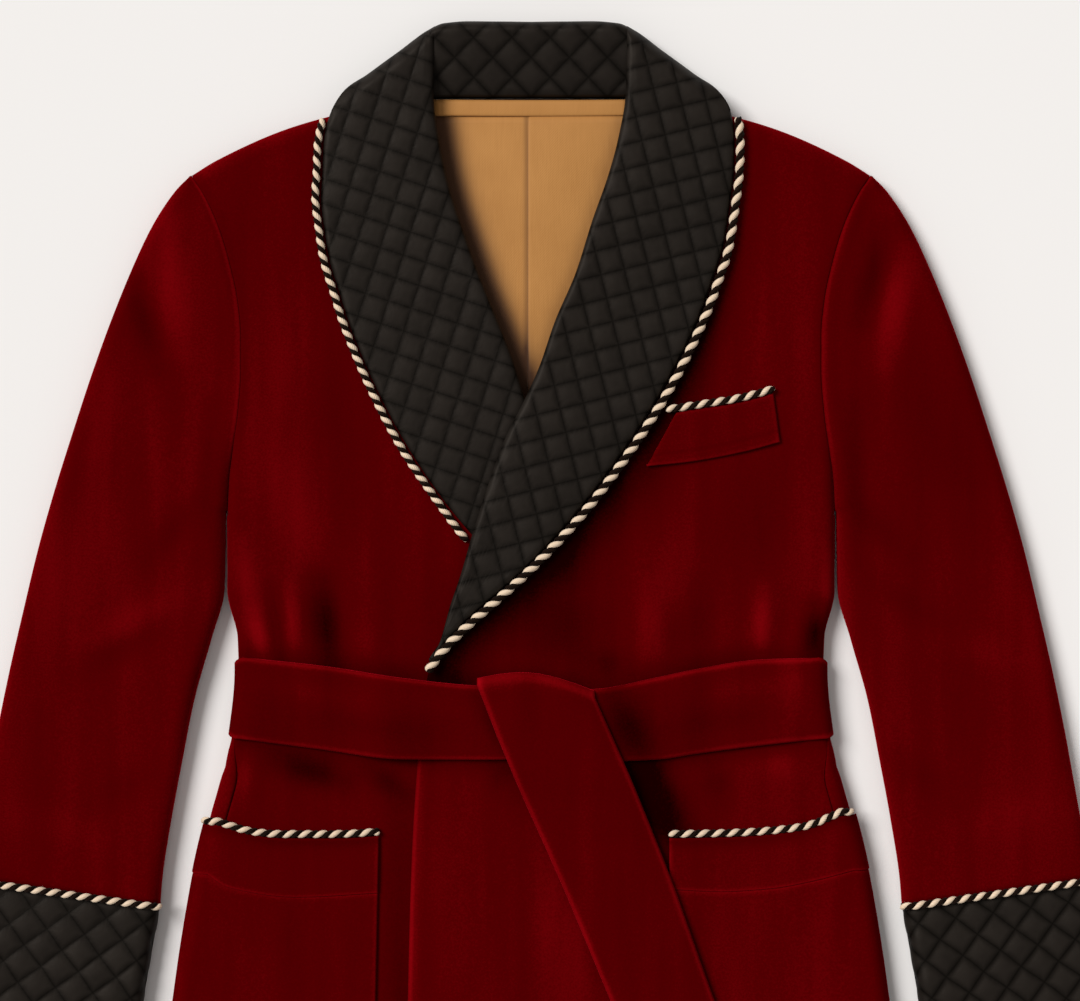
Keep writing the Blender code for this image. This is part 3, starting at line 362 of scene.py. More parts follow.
class ShaderBook:
    """One material's node tree, with short ways to add to it."""

    def __init__(self, name: str) -> None:
        """Make the material with its Principled shader."""
        self.material = bpy.data.materials.new(name)
        self.material.use_nodes = True
        self.tree = self.material.node_tree
        self.shader = self.tree.nodes["Principled BSDF"]

    def node(self, kind: str, settings: dict, inputs: dict, output: Union[str, int]) -> Wire:
        """Add a node.

        Args:
            kind: the node's type.
            settings: its own settings.
            inputs: values or wires, by socket name or number.
            output: the output socket wanted.

        Returns:
            The wire from that output.
        """
        made = self.tree.nodes.new(kind)
        for key, value in settings.items():
            setattr(made, key, value)
        for key, value in inputs.items():
            if isinstance(value, Wire) and not isinstance(value.socket, (int, float)):
                self.tree.links.new(value.socket, made.inputs[key])
            else:
                made.inputs[key].default_value = value.socket if isinstance(value, Wire) else value
        return Wire(self, made.outputs[output])

    def set(self, name: str, value: object) -> None:
        """Set or link one of the Principled shader's sockets."""
        if isinstance(value, Wire):
            self.tree.links.new(value.socket, self.shader.inputs[name])
        else:
            self.shader.inputs[name].default_value = value

    def surface(self, base: Union[Wire, tuple], rough: float, specular: float, sheen: float = 0.0) -> None:
        """Set the colour and the shares that stay the same over a surface."""
        self.set("Base Color", base)
        self.set("Roughness", rough)
        self.set("Specular IOR Level", specular)
        self.set("Sheen Weight", sheen)

    def position(self) -> Wire:
        """Return the Object coordinates."""
        return self.node("ShaderNodeTexCoord", {}, {}, "Object")

    def uv(self) -> Wire:
        """Return the piece's own UV map, in metres of cloth."""
        return self.node("ShaderNodeUVMap", {"uv_map": "UVMap"}, {}, "UV")

    def mapped(self, vector: Wire, scale: Point) -> Wire:
        """Return scaled coordinates."""
        return self.node("ShaderNodeMapping", {}, {"Vector": vector, "Scale": scale}, "Vector")

    def nap(self) -> Wire:
        """Return the painted shading attribute: painted shade where it is negative, painted highlight where
        it is positive.
        """
        return self.node("ShaderNodeAttribute", {"attribute_name": "nap"}, {}, "Fac")

    def noise(self, vector: Wire, scale: float, detail: float = 2.0, rough: float = 0.5) -> Wire:
        """Return a noise value."""
        inputs = {"Vector": vector, "Scale": scale, "Detail": detail, "Roughness": rough}
        return self.node("ShaderNodeTexNoise", {}, inputs, 0)

    def parts(self, vector: Wire) -> tuple[Wire, Wire, Wire]:
        """Return a vector's three numbers."""
        first = self.node("ShaderNodeSeparateXYZ", {}, {"Vector": vector}, "X")
        made = first.socket.node
        return first, Wire(self, made.outputs["Y"]), Wire(self, made.outputs["Z"])

    def blend(self, factor: Union[Wire, float], first: object, second: object) -> Wire:
        """Return the mix of two colours."""
        inputs = {0: factor, 6: first, 7: second}
        return self.node("ShaderNodeMix", {"data_type": "RGBA", "clamp_factor": True}, inputs, 2)

    def bump(self, height: Wire, strength: float, distance: float) -> None:
        """Feed a height to the shader's normal."""
        inputs = {"Height": height, "Strength": strength, "Distance": distance}
        self.set("Normal", self.node("ShaderNodeBump", {}, inputs, "Normal"))


def colour(red: float, green: float, blue: float) -> tuple[float, float, float, float]:
    """Return a linear colour for values as they show on a screen, each up to 255."""
    values = [part / 255.0 for part in (red, green, blue)]
    linear = [part / 12.92 if part <= 0.04045 else ((part + 0.055) / 1.055) ** 2.4 for part in values]
    return (*linear, 1.0)


@dataclass(frozen=True)
class Velvet:
    """Deep red cotton velvet with its own sheen; painted shade darkens creases, seams and cast shadows, and
    painted highlights lighten turned edges.
    """

    # middle is the cloth's colour; dark is reached mostly through painted shade and light through painted
    # highlights, a little through random tone.
    dark: Point = (24.0, 0.0, 0.0)
    middle: Point = (82.0, 0.0, 2.0)
    light: Point = (150.0, 6.0, 16.0)
    sheen: float = 0.30

    def make(self) -> bpy.types.Material:
        """Return the material."""
        book = ShaderBook("velvet")
        place = book.position()
        patches = book.noise(book.mapped(place, (1.0, 0.5, 1.0)), 8.0, 2.0, 0.5)
        streaks = book.noise(book.mapped(place, (1.0, 0.12, 1.0)), 46.0, 2.0, 0.5)
        grain = book.noise(place, 700.0, 2.0, 0.6)
        shade = (patches - 0.5) * 0.16 + (streaks - 0.5) * 0.22 + (grain - 0.5) * 0.22
        # The shading attribute adds painted shade and painted highlights on top of the random tone.
        shade = shade + book.nap() * 0.5 + 0.49
        deep = book.blend((shade * 2.0).math("MAXIMUM", 0.0), colour(*self.dark), colour(*self.middle))
        velvet_with_painted_light = book.blend((shade * 2.0 - 1.0).math("MAXIMUM", 0.0), deep, colour(*self.light))
        book.surface(velvet_with_painted_light, 0.9, 0.0, self.sheen)
        book.set("Sheen Roughness", 0.30)
        book.set("Sheen Tint", (1.0, 0.01, 0.03, 1.0))
        crush = book.noise(place, 60.0, 3.0, 0.5)
        book.bump(grain * 0.25 + crush * 0.5, 0.4, 0.0010)
        return book.material


@dataclass(frozen=True)
class QuiltedSatin:
    """Black satin with quilting lines that follow the raised cells; painted shade darkens the grooves along
    the lines.
    """

    name: str
    turn: float
    cell: float
    base: Point = (37.0, 32.0, 28.0)
    deep: Point = (25.0, 21.0, 18.0)

    def make(self) -> bpy.types.Material:
        """Return the material; its lines are worked out from the place on the cloth."""
        book = ShaderBook(self.name)
        x, down = self.place(book)
        scale = 1.0 / (self.cell * MM)
        across = (x * cos(self.turn) + down * sin(self.turn)) * scale
        along = (down * cos(self.turn) - x * sin(self.turn)) * scale
        return self.dress(book, across, along)

    def place(self, book: ShaderBook) -> tuple[Wire, Wire]:
        """Return a place across and down the jacket."""
        x, y, _ = book.parts(book.position())
        return x, NECK_TO_ORIGIN * MM - y

    def dress(self, book: ShaderBook, across: Wire, along: Wire) -> bpy.types.Material:
        """Dress the cloth round quilting lines at whole numbers of two coordinates, with painted shade in the
        grooves and dark stitch lines.
        """
        lines = [(number.math("FRACT") - 0.5).math("ABSOLUTE") * -1.0 + 0.5 for number in (across, along)]
        nearest = lines[0].math("MINIMUM", lines[1])
        # Painted shade in the wide grooves along the quilting lines.
        painted_groove_shade = (1.0 - (nearest * 3.6).math("MINIMUM", 1.0)) ** 1.8
        stitch = (1.0 - (nearest * 22.0).math("MINIMUM", 1.0)) ** 2.0
        place = book.position()
        cloud = book.noise(place, 60.0, 3.0, 0.55)
        pucker = book.noise(place, 190.0, 3.0, 0.55)
        plain = book.blend(cloud * 1.4 - 0.2, colour(*self.deep), colour(*self.base))
        # The grooves get painted shade and the narrow stitch lines their own dark thread colour, both towards
        # near black.
        book.surface(book.blend(painted_groove_shade * 0.85 + stitch * 0.15, plain, colour(3, 2, 1)), 0.52, 0.10)
        book.set("Specular Tint", (1.0, 0.86, 0.74, 1.0))
        gather = pucker * (1.0 - (nearest * 3.0).math("MINIMUM", 1.0)) * 1.2
        book.bump(gather + cloud * 0.35 - stitch * 0.1, 0.4, 0.0009)
        return book.material


@dataclass(frozen=True)
class Lining:
    """Tan twill lining, with painted shadow where its points carry painted shade."""

    light: Point = (196.0, 138.0, 74.0)
    dark: Point = (174.0, 118.0, 58.0)

    def make(self) -> bpy.types.Material:
        """Return the material."""
        book = ShaderBook("lining")
        place = book.position()
        x, y, _ = book.parts(place)
        twill = ((x + y * 0.62) * 5200.0).math("SINE") * 0.5 + 0.5
        warp = book.noise(book.mapped(place, (1.0, 0.06, 1.0)), 900.0, 1.0)
        cloud = book.noise(place, 20.0, 3.0, 0.6)
        shade = cloud * 1.1 + (warp - 0.5) * 0.4 + (twill - 0.5) * 0.12 - 0.05
        plain = book.blend(shade, colour(*self.dark), colour(*self.light))
        # Painted shadow: the lining darkens towards deep brown where its points carry painted shade.
        shaded = book.blend(book.nap() * -1.0, plain, colour(74.0, 42.0, 16.0))
        book.surface(shaded, 0.62, 0.25, 0.08)
        book.bump(twill * 0.2 + warp * 0.25 + cloud * 1.4, 0.4, 0.0009)
        return book.material


@dataclass(frozen=True)
class Yarn:
    """One strand of the twisted cord, with its fine threads."""

    name: str
    light: Point
    dark: Point
    gloss: float = 0.3

    def make(self) -> bpy.types.Material:
        """Return the material; the threads follow the strand's own UV map."""
        book = ShaderBook(self.name)
        across, along, _ = book.parts(book.uv())
        threads = (across * (2.0 * pi * 9.0) + along * 2600.0).math("SINE") * 0.5 + 0.5
        fuzz = book.noise(book.position(), 900.0, 2.0)
        shade = threads * 0.6 + fuzz * 0.7 - 0.15
        threads_colour = book.blend(shade, colour(*self.dark), colour(*self.light))
        book.surface(threads_colour, 0.6, self.gloss, self.gloss * 0.5)
        book.bump(threads * 0.8 + fuzz * 0.4, 0.6, 0.0004)
        return book.material


class Wardrobe:
    """All the finishes, made once."""

    def __init__(self) -> None:
        """Make the materials."""
        over, under = Quilting.over(), Quilting.under()
        diamond = Quilting.diamond()
        self.velvet = Velvet().make()
        self.lining = Lining().make()
        self.over_satin = QuiltedSatin("satin_left", over.turn, over.cell).make()
        self.under_satin = QuiltedSatin("satin_right", under.turn, under.cell).make()
        self.stand_satin = QuiltedSatin("satin_stand", diamond.turn, diamond.cell).make()
        self.cream = Yarn("cord_cream", (255.0, 234.0, 208.0), (214.0, 180.0, 144.0)).make()
        self.black = Yarn("cord_black", (30.0, 14.0, 4.0), (10.0, 4.0, 1.0), 0.05).make()


@dataclass(frozen=True)
class Quilting:
    """Square quilting cells, turned by an angle."""

    turn: float
    cell: float
    rise: float

    @classmethod
    def over(cls) -> "Quilting":
        """Return the left lapel's quilting."""
        return cls(radians(-14.0), 17.0, 1.3)

    @classmethod
    def under(cls) -> "Quilting":
        """Return the right lapel's quilting."""
        return cls(radians(18.0), 17.0, 1.2)

    @classmethod
    def diamond(cls) -> "Quilting":
        """Return the diamonds of the stand and the cuffs."""
        return cls(radians(45.0), 19.2, 1.9)

    def puff(self, x: float, down: float) -> float:
        """Return the padding's height at a place."""
        across = (x * cos(self.turn) + down * sin(self.turn)) / self.cell
        along = (down * cos(self.turn) - x * sin(self.turn)) / self.cell
        swell = abs(sin(pi * across) * sin(pi * along))
        return self.rise * swell ** 0.62 * (1.0 + 0.12 * sin(across * 2.1 + along * 1.3))


def sideways(route: np.ndarray) -> tuple[np.ndarray, np.ndarray]:
    """Return two directions for each point of a route, square to it and to each other."""
    way = np.gradient(route, axis=0)
    way /= np.linalg.norm(way, axis=1)[:, None]
    aside = np.cross(way, np.array([0.0, 0.0, 1.0]))
    aside /= np.linalg.norm(aside, axis=1)[:, None]
    return aside, np.cross(aside, way)


class Tailor(Wardrobe):
    def __init__(self) -> None:
        """Start with all finishes and no pieces."""
        super().__init__()
        self.count = 0

    def declare(self, piece: bpy.types.Object, material: bpy.types.Material) -> None:
        """Dress a finished piece, tie it to its body, and look up the kind of cloth that starts its finish's
        name.
        """
        piece.data.materials.append(material)
        piece.data.shade_smooth()
        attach(piece, BODY)
        Cloth(material.name.split(".")[0].split("_")[0]).value

    def grid(self, name: str, points: np.ndarray, nap: Union[np.ndarray, None] = None) -> bpy.types.Object:
        """Add a grid primitive and shape it to rows of points, with a UV map in metres of cloth.

        Args:
            name: the piece's name.
            points: rows of points in metres.
            nap: painted shade and highlight at each point, from -1, darkest, to 1, brightest.

        Returns:
            The open sheet.
        """
        rows, columns = points.shape[0] - 1, points.shape[1] - 1
        bpy.ops.object.select_all(action="DESELECT")
        bpy.ops.mesh.primitive_grid_add(x_subdivisions=columns, y_subdivisions=rows, size=1.0, calc_uvs=True)
        piece = bpy.context.object
        piece.name = name
        mesh = piece.data
        mesh.name = name
        flat = np.empty(len(mesh.vertices) * 3)
        mesh.vertices.foreach_get("co", flat)
        flat = flat.reshape(-1, 3)
        column = np.rint((flat[:, 0] + 0.5) * columns).astype(int)
        row = np.rint((flat[:, 1] + 0.5) * rows).astype(int)
        mesh.vertices.foreach_set("co", points[row, column].ravel())
        across = np.zeros(points.shape[:2])
        across[:, 1:] = np.cumsum(np.linalg.norm(np.diff(points, axis=1), axis=2), axis=1)
        along = np.zeros(points.shape[:2])
        along[1:, :] = np.cumsum(np.linalg.norm(np.diff(points, axis=0), axis=2), axis=0)
        corners = np.empty(len(mesh.loops), dtype=int)
        mesh.loops.foreach_get("vertex_index", corners)
        place = np.stack([across[row, column][corners], along[row, column][corners]], axis=1)
        mesh.uv_layers.active.name = "UVMap"
        mesh.uv_layers.active.data.foreach_set("uv", place.ravel())
        # Store the painted shade and highlights as a point attribute for the shader.
        if nap is not None:
            mesh.attributes.new("nap", "FLOAT", "POINT").data.foreach_set("value", nap[row, column])
        mesh.update()
        return piece

    def sheet(self, name: str, us: Sequence[float], vs: Sequence[float], place: Place, thickness: float,
              material: bpy.types.Material, outward: Point, rests_on: Sequence[str],
              held: str = "laid") -> bpy.types.Object:
        """Make a sheet of cloth from a place for each pair of numbers.

        Args:
            name: the piece's name.
            us: the numbers across it.
            vs: the numbers along it.
            place: gives the outer surface's point, as x, down and z in millimetres, and, where given, its
                painted shade or highlight.
            thickness: the cloth's thickness in millimetres.
            material: its finish.
            outward: the way that the outer surface faces, on the whole.
            rests_on: the names of what it lies on; not used.
            held: how it is held; not used.

        Returns:
            The finished piece.
        """
        spots = np.array([[place(u, v) for u in us] for v in vs], dtype=float)
        points = spots[:, :, :3].copy()
        points[:, :, 1] = NECK_TO_ORIGIN - points[:, :, 1]
        points *= MM
        piece = self.grid(name + ".cloth", points, spots[:, :, 3] if spots.shape[2] > 3 else None)
        mesh = piece.data
        faces = np.zeros(len(mesh.polygons) * 3)
        mesh.polygons.foreach_get("normal", faces)
        facing = faces.reshape(-1, 3).mean(axis=0) @ np.array(outward)
        if facing < 0.0:
            mesh.flip_normals()
        wall = piece.modifiers.new("wall", "SOLIDIFY")
        wall.thickness = thickness * MM
        wall.offset = -1.0
        bpy.ops.object.modifier_apply(modifier=wall.name)
        self.declare(piece, material)
        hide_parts(name)
        self.count += 1
        return piece

    def strands(self, name: str, routes: Sequence[tuple[np.ndarray, float]],
                material: bpy.types.Material) -> bpy.types.Object:
        """Make round strands of one colour as one piece, each along close points and of its own radius."""
        sides = 10
        angles = np.linspace(0.0, 2.0 * pi, sides + 1)
        shape = bmesh.new()
        for route, radius in routes:
            aside, other = sideways(route)
            taper = np.ones(len(route))
            taper[[0, -1]] = 0.3
            taper[[1, -2]] = 0.8
            ring = [route[:, None, :] + radius * taper[:, None, None]
                    * (np.cos(a) * aside + np.sin(a) * other)[:, None, :] for a in angles]
            part = self.grid(name + ".part", np.concatenate(ring, axis=1))
            shape.from_mesh(part.data)
            bpy.data.objects.remove(part)
        layer = shape.loops.layers.uv.active
        for face in shape.faces:
            for loop in face.loops:
                loop[layer].uv.x /= 2.0 * pi * routes[0][1]
        bmesh.ops.remove_doubles(shape, verts=shape.verts[:], dist=0.00001)
        rims = [edge for edge in shape.edges if edge.is_boundary]
        bmesh.ops.holes_fill(shape, edges=rims, sides=0)
        bmesh.ops.recalc_face_normals(shape, faces=shape.faces[:])
        mesh = bpy.data.meshes.new(name)
        shape.to_mesh(mesh)
        shape.free()
        piece = bpy.data.objects.new(name, mesh)
        bpy.context.scene.collection.objects.link(piece)
        self.declare(piece, material)
        return piece


def close_route(points: Sequence[Point], step: float) -> np.ndarray:
    """Return close points on a smooth curve through a route.

    Args:
        points: the route's own points, as x, down and z in millimetres.
        step: the wanted distance between two points, in millimetres.

    Returns:
        The points in metres.
    """
    knots = [Vector((x * MM, (NECK_TO_ORIGIN - down) * MM, z * MM)) for x, down, z in points]
    fine = []
    last = len(knots) - 1
    for index in range(last):
        before, start = knots[max(index - 1, 0)], knots[index]
        end, after = knots[index + 1], knots[min(index + 2, last)]
        for part in range(24):
            t = part / 24.0
            fine.append(0.5 * ((2.0 * start) + (end - before) * t
                               + (2.0 * before - 5.0 * start + 4.0 * end - after) * t ** 2
                               + (3.0 * start - before - 3.0 * end + after) * t ** 3))
    fine.append(knots[-1])
    line = np.array(fine)
    lengths = np.concatenate([[0.0], np.cumsum(np.linalg.norm(np.diff(line, axis=0), axis=1))])
    count = max(8, int(lengths[-1] / (step * MM)))
    places = np.linspace(0.0, lengths[-1], count)
    return np.stack([np.interp(places, lengths, line[:, axis]) for axis in range(3)], axis=1)


@dataclass
class TwistedCord:
    """A cord of one cream and one black strand twisted about a dark core, laid along a route."""

    name: str
    points: Sequence[Point]
    lean: float = 1.0
    diameter: float = 5.8
    repeat: float = 10.8
    core_share: float = 0.34

    def build(self, tailor: Tailor) -> None:
        """Make the strands of each colour; the cream ones stand for the cord's solid."""
        core = close_route(self.points, 1.0)
        core[:, 2] -= (Form.cord - self.diameter) / 2.0 * MM
        aside, other = sideways(core)
        lengths = np.concatenate([[0.0], np.cumsum(np.linalg.norm(np.diff(core, axis=0), axis=1))])
        size = self.diameter * MM
        for word, phase, thick, material in (("cream", 0.0, 0.33, tailor.cream),
                                             ("black", pi, 0.20, tailor.black)):
            angle = self.lean * 2.0 * pi * lengths / (self.repeat * MM) + phase
            reach = size * (0.5 - thick)
            twisted = core + reach * (np.cos(angle)[:, None] * aside + np.sin(angle)[:, None] * other)
            routes = [(twisted, size * thick)]
            if word == "black":
                routes.append((core, size * self.core_share))
            piece = tailor.strands(f"{self.name}.{word}", routes, material)
            if word == "cream":
                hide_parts(self.name)
        LOG.info("%s: %.0f mm of cord", self.name, lengths[-1] / MM)


@dataclass
class Torso:
    """The back, the side panels and the two fronts, in velvet."""

    form: Form
    step: float = 5.0
    side_seam_open: float = 470.0

    # Each row: x, down, end x, end down, rise, width, and the painted shade (negative) or painted highlight
    # (positive) along it; some rows only paint shadows or highlights.
    creases = {
        Side.RIGHT: crease_table(
            (-206, 318, -197, 372, 2.0, 8, 0.30), (-197, 368, -188, 402, 2.4, 7, 0.50),
            (-182, 350, -178, 400, -1.6, 6, -0.30), (-170, 350, -167, 398, 2.0, 7, 0.30),
            (-150, 346, -142, 404, -2.8, 11, -0.80), (-118, 372, -116, 406, 1.2, 9, 0.10),
            (-60, 330, -50, 400, -0.8, 22, -0.15), (-180, 472, -132, 486, -2.2, 11, -0.75),
            (-114, 480, -90, 494, -1.4, 9, -0.50), (-200, 470, -206, 500, 1.2, 8, 0.20),
            (-190, 240, -150, 330, 0.9, 22, 0.12), (-150, 170, -105, 300, -0.8, 26, -0.12),
            (-92, 500, -94, 790, 0.0, 13, -0.45), (-180, 120, -170, 240, 0.6, 24, 0.10)),
        Side.LEFT: crease_table(
            (84, 348, 86, 408, 1.7, 8, 0.20), (104, 366, 104, 404, -1.2, 8, -0.20),
            (122, 352, 119, 400, -1.4, 10, -0.20), (165, 350, 163, 400, 2.2, 7, 0.45),
            (181, 356, 179, 394, -1.2, 7, -0.15), (203, 364, 199, 398, -3.2, 8, -1.0),
            (212, 326, 208, 384, 1.2, 6, 0.25), (26, 350, 18, 408, -1.8, 30, -0.50),
            (42, 402, 66, 404, -1.0, 9, -0.40), (166, 472, 190, 480, 1.6, 10, 0.12),
            (66, 456, 106, 536, -1.8, 17, -1.45), (130, 476, 136, 500, -1.0, 10, -0.30),
            (-24, 474, -12, 488, -0.8, 14, -0.35), (120, 290, 90, 370, 0.8, 24, 0.10),
            (176, 250, 150, 340, -0.8, 24, -0.12), (20, 500, 30, 700, 0.6, 20, 0.12),
            (-60, 520, -50, 700, 0.0, 16, 0.10), (190, 130, 176, 230, 0.6, 22, 0.10))}


    side_folds = ((338.0, 9.0, 0.8), (380.0, 7.0, 1.3), (476.0, 6.0, 1.0), (530.0, 13.0, 0.9),
                  (648.0, 20.0, 0.7))

    def sink(self, x: float, down: float) -> float:
        """Return how far the belt presses the cloth in at a place, from 0 to 1."""
        top, bottom = Belt.straps[Side.LEFT if x > 10.0 else Side.RIGHT]
        away = max(top.at(x) - down, down - bottom.at(x), 0.0)
        return bell(away, 9.0)

    def front_point(self, side: Side, column: tuple[float, float], row: float, count_top: float) -> Spot:
        """Return a point of a front.

        Args:
            side: which front.
            column: an arc part up to 1 on the turned side, then a part of the flat run, each from 0 to 1.
            row: the arc over the shoulder where negative, else the distance down at the side.
            count_top: the arc length of the shoulder's turn.

        Returns:
            The outer surface's point and its painted shade or highlight.
        """
        form = self.form
        over_shoulder = row < 0.0
        outer = SHOULDER_DOWN if over_shoulder else row
        radius = form.turn(outer)
        shift, drop = 0.0, 0.0
        inner = form.front_inner.at(outer)
        if over_shoulder:
            shift, level = turned(count_top + row, radius)
            drop = radius - level
        if outer > form.underarm + 1.0:
            seam, share, base = form.side_seam(outer) + SEAM_GAP, 1.0, 0.0
            outline = form.body_side.at(outer)
        else:
            seam, share = radius * form.seam_angle, form.armhole_fold(outer)
            base = turned(seam, radius)[0]
            outline = form.armhole.at(outer + shift) - 0.02
        end = max(radius * QUARTER, seam + 2.0)
        inset, level = turned(mix(seam, end, column[0]), radius)
        flat_x = outline - (turned(end, radius)[0] - base)
        hidden = 5.5 * (1.0 - smooth_step(396.0, 410.0, inner))
        inner_x = form.edge(side).at(inner + shift) + side.value * hidden
        first_x = side.value * outline
        if column[0] < 1.0:
            x = side.value * (outline - inset + base)
        else:
            x = mix(side.value * flat_x, inner_x, column[1])
        side_drop = (radius - level) * share if column[0] < 1.0 else 0.0
        part = (x - first_x) / (inner_x - first_x)
        down = mix(outer, inner, part) + form.bend(outer, outline, x, part) + shift
        near_seam = abs(abs(x) - outline)
        flat_part = clamp(near_seam / 30.0) * clamp((down - form.shoulder.at(abs(x))) / 14.0)
        # Creases add height and painted shade or highlight.
        height, nap = creased(self.creases[side], x, down)
        sunk = self.sink(x, down)
        z = form.front(side, x) - side_drop + (height * (1.0 - 0.6 * sunk) + ripple(x, down)) * flat_part
        z -= drop * (form.front(side, x) / form.top * 2.0 - 1.0) + 2.2 * sunk * flat_part
        z -= soften(near_seam, 2.0, 0.5) * (1.0 - share)
        # Painted shade where the belt presses the cloth in and along the armhole seam.
        nap -= 0.30 * sunk + 0.12 * bell(near_seam, 5.0) * (1.0 - share)
        # Painted shadow of the left lapel and its cord on the cloth beside it.
        if side is Side.LEFT and 60.0 < down < 420.0:
            away = max((x - Collar.over_line.at(down)) * 0.75, 0.0)
            width = mix(9.0, 25.0, smooth_step(100.0, 320.0, down))
            nap -= 1.05 * bell(away, width) * smooth_step(60.0, 170.0, down)
        # Painted highlight where the shoulder turns down at the outline.
        nap += 0.60 * bell((radius - drop) / radius, 0.6) if over_shoulder else 0.0
        if outer > self.side_seam_open:
            z -= soften(near_seam - 13.0, 2.6, 0.8)
        if side is Side.LEFT and down > 405.0:
            free = abs(x - inner_x)
            z -= soften(free, 4.0, 1.9) + 2.6 * (1.0 - smooth_step(0.0, 30.0, free))
            # Painted highlight along the left front's edge below the belt.
            nap += 0.45 * bell(free - 1.5, 2.0)
        z -= soften(form.hem - down, 3.0, 1.4)
        return x, down, z, clamp(nap, -1.0, 1.0)

    def front(self, side: Side, tailor: Tailor) -> None:
        """Make one front."""
        top_arc = self.form.turn(0.0) * QUARTER
        rows = [-top_arc * (1.0 - part) - 0.0001 for part in (0.0, 0.15, 0.3, 0.45, 0.6, 0.75, 0.9)]
        rows += steps(SHOULDER_DOWN + 9.0, self.form.hem - 4.0, self.step)
        rows += [self.form.hem - 2.0, self.form.hem - 0.8, self.form.hem]
        columns = [(part, 0.0) for part in (0.0, 0.12, 0.25, 0.4, 0.55, 0.7, 0.85)]
        run = 60 if side is Side.LEFT else 50
        columns += [(1.0, index / run) for index in range(run - 1)]
        columns += [(1.0, part) for part in (0.988, 0.994, 0.998, 1.0)]

        def place(u: float, v: float) -> Spot:
            """Return a point for a column's number and a row's value."""
            return self.front_point(side, columns[int(u)], v, top_arc)

        below = ["lining_" + side.word] if side is Side.RIGHT else ["front_right.cloth"]
        tailor.sheet("front_" + side.word, range(len(columns)), rows, place, self.form.cloth,
                     tailor.velvet, (0, 0, 1), below)

    def side_panel(self, side: Side, tailor: Tailor) -> None:
        """Make the narrow panel that turns round one side."""
        form = self.form
        rows = steps(form.underarm + 3.8, form.hem, 6.0)

        def place(u: float, v: float) -> Spot:
            """Return a point for a part of the arc and a distance down."""
            radius = form.turn(v)
            low = -radius * QUARTER - form.side_flat + SEAM_GAP
            high = form.side_seam(v) - SEAM_GAP
            arc = mix(low, high, u)
            fold = sum(depth * bell(v - down, width) for down, width, depth in self.side_folds)
            inset, rise = turned(arc, radius, -fold * sin(pi * u))
            rise -= soften(high - arc, 2.6, 0.8) if v > self.side_seam_open else 0.0
            # Painted highlight along the middle of the side's turn, where it meets the outline.
            nap = 0.60 * bell(rise / radius, 0.5)
            return side.value * (form.body_side.at(v) - inset), v, form.floor_raise(v) + radius + rise, nap

        tailor.sheet("side_" + side.word, [index / 20 for index in range(21)], rows, place, form.cloth,
                     tailor.velvet, (side.value, 0, 0), ["floor"])

    def back(self, tailor: Tailor) -> None:
        """Make the back, flat on the surface, turned up at the shoulders."""
        form = self.form
        top_arc = form.turn(0.0) * QUARTER
        arcs = [top_arc * part for part in (0.0, 0.17, 0.34, 0.5, 0.67, 0.84)]
        rows = [-1.0 - arc for arc in arcs] + steps(SHOULDER_DOWN + 9.0, form.hem, 7.0)

        def place(u: float, v: float) -> Spot:
            """Return a point for a part of the half width and a row."""
            shift, rise = 0.0, 0.0
            outer = SHOULDER_DOWN if v < 0.0 else v
            if v < 0.0:
                inset, level = turned(v + 1.0 - SEAM_GAP, form.turn(0.0))
                shift, rise = inset, level + form.turn(0.0)
            if outer > form.underarm + 1.0:
                half = form.body_side.at(outer) - form.turn(outer) - form.side_flat - SEAM_GAP
            else:
                half = form.armhole.at(outer + shift) - SEAM_GAP
            x = u * half
            across = clamp((half - abs(x)) / (half - 68.0))
            shown = smooth_step(128.0, 152.0, abs(x))
            level = mix(outer, form.front_inner.at(outer) if outer < 360 else outer, across)
            down = level + form.bend(outer, half, x, across)
            return x, down + shift * mix(0.4, 1.0, shown) + SEAM_GAP, form.floor_raise(down) + rise * shown

        tailor.sheet("back", [index / 30 - 1.0 for index in range(61)], rows, place, form.cloth,
                     tailor.velvet, (0, 0, -1), ["floor"])

    def build(self, tailor: Tailor) -> None:
        """Make all the velvet of the body."""
        self.back(tailor)
        for side in (Side.RIGHT, Side.LEFT):
            self.side_panel(side, tailor)
            self.front(side, tailor)


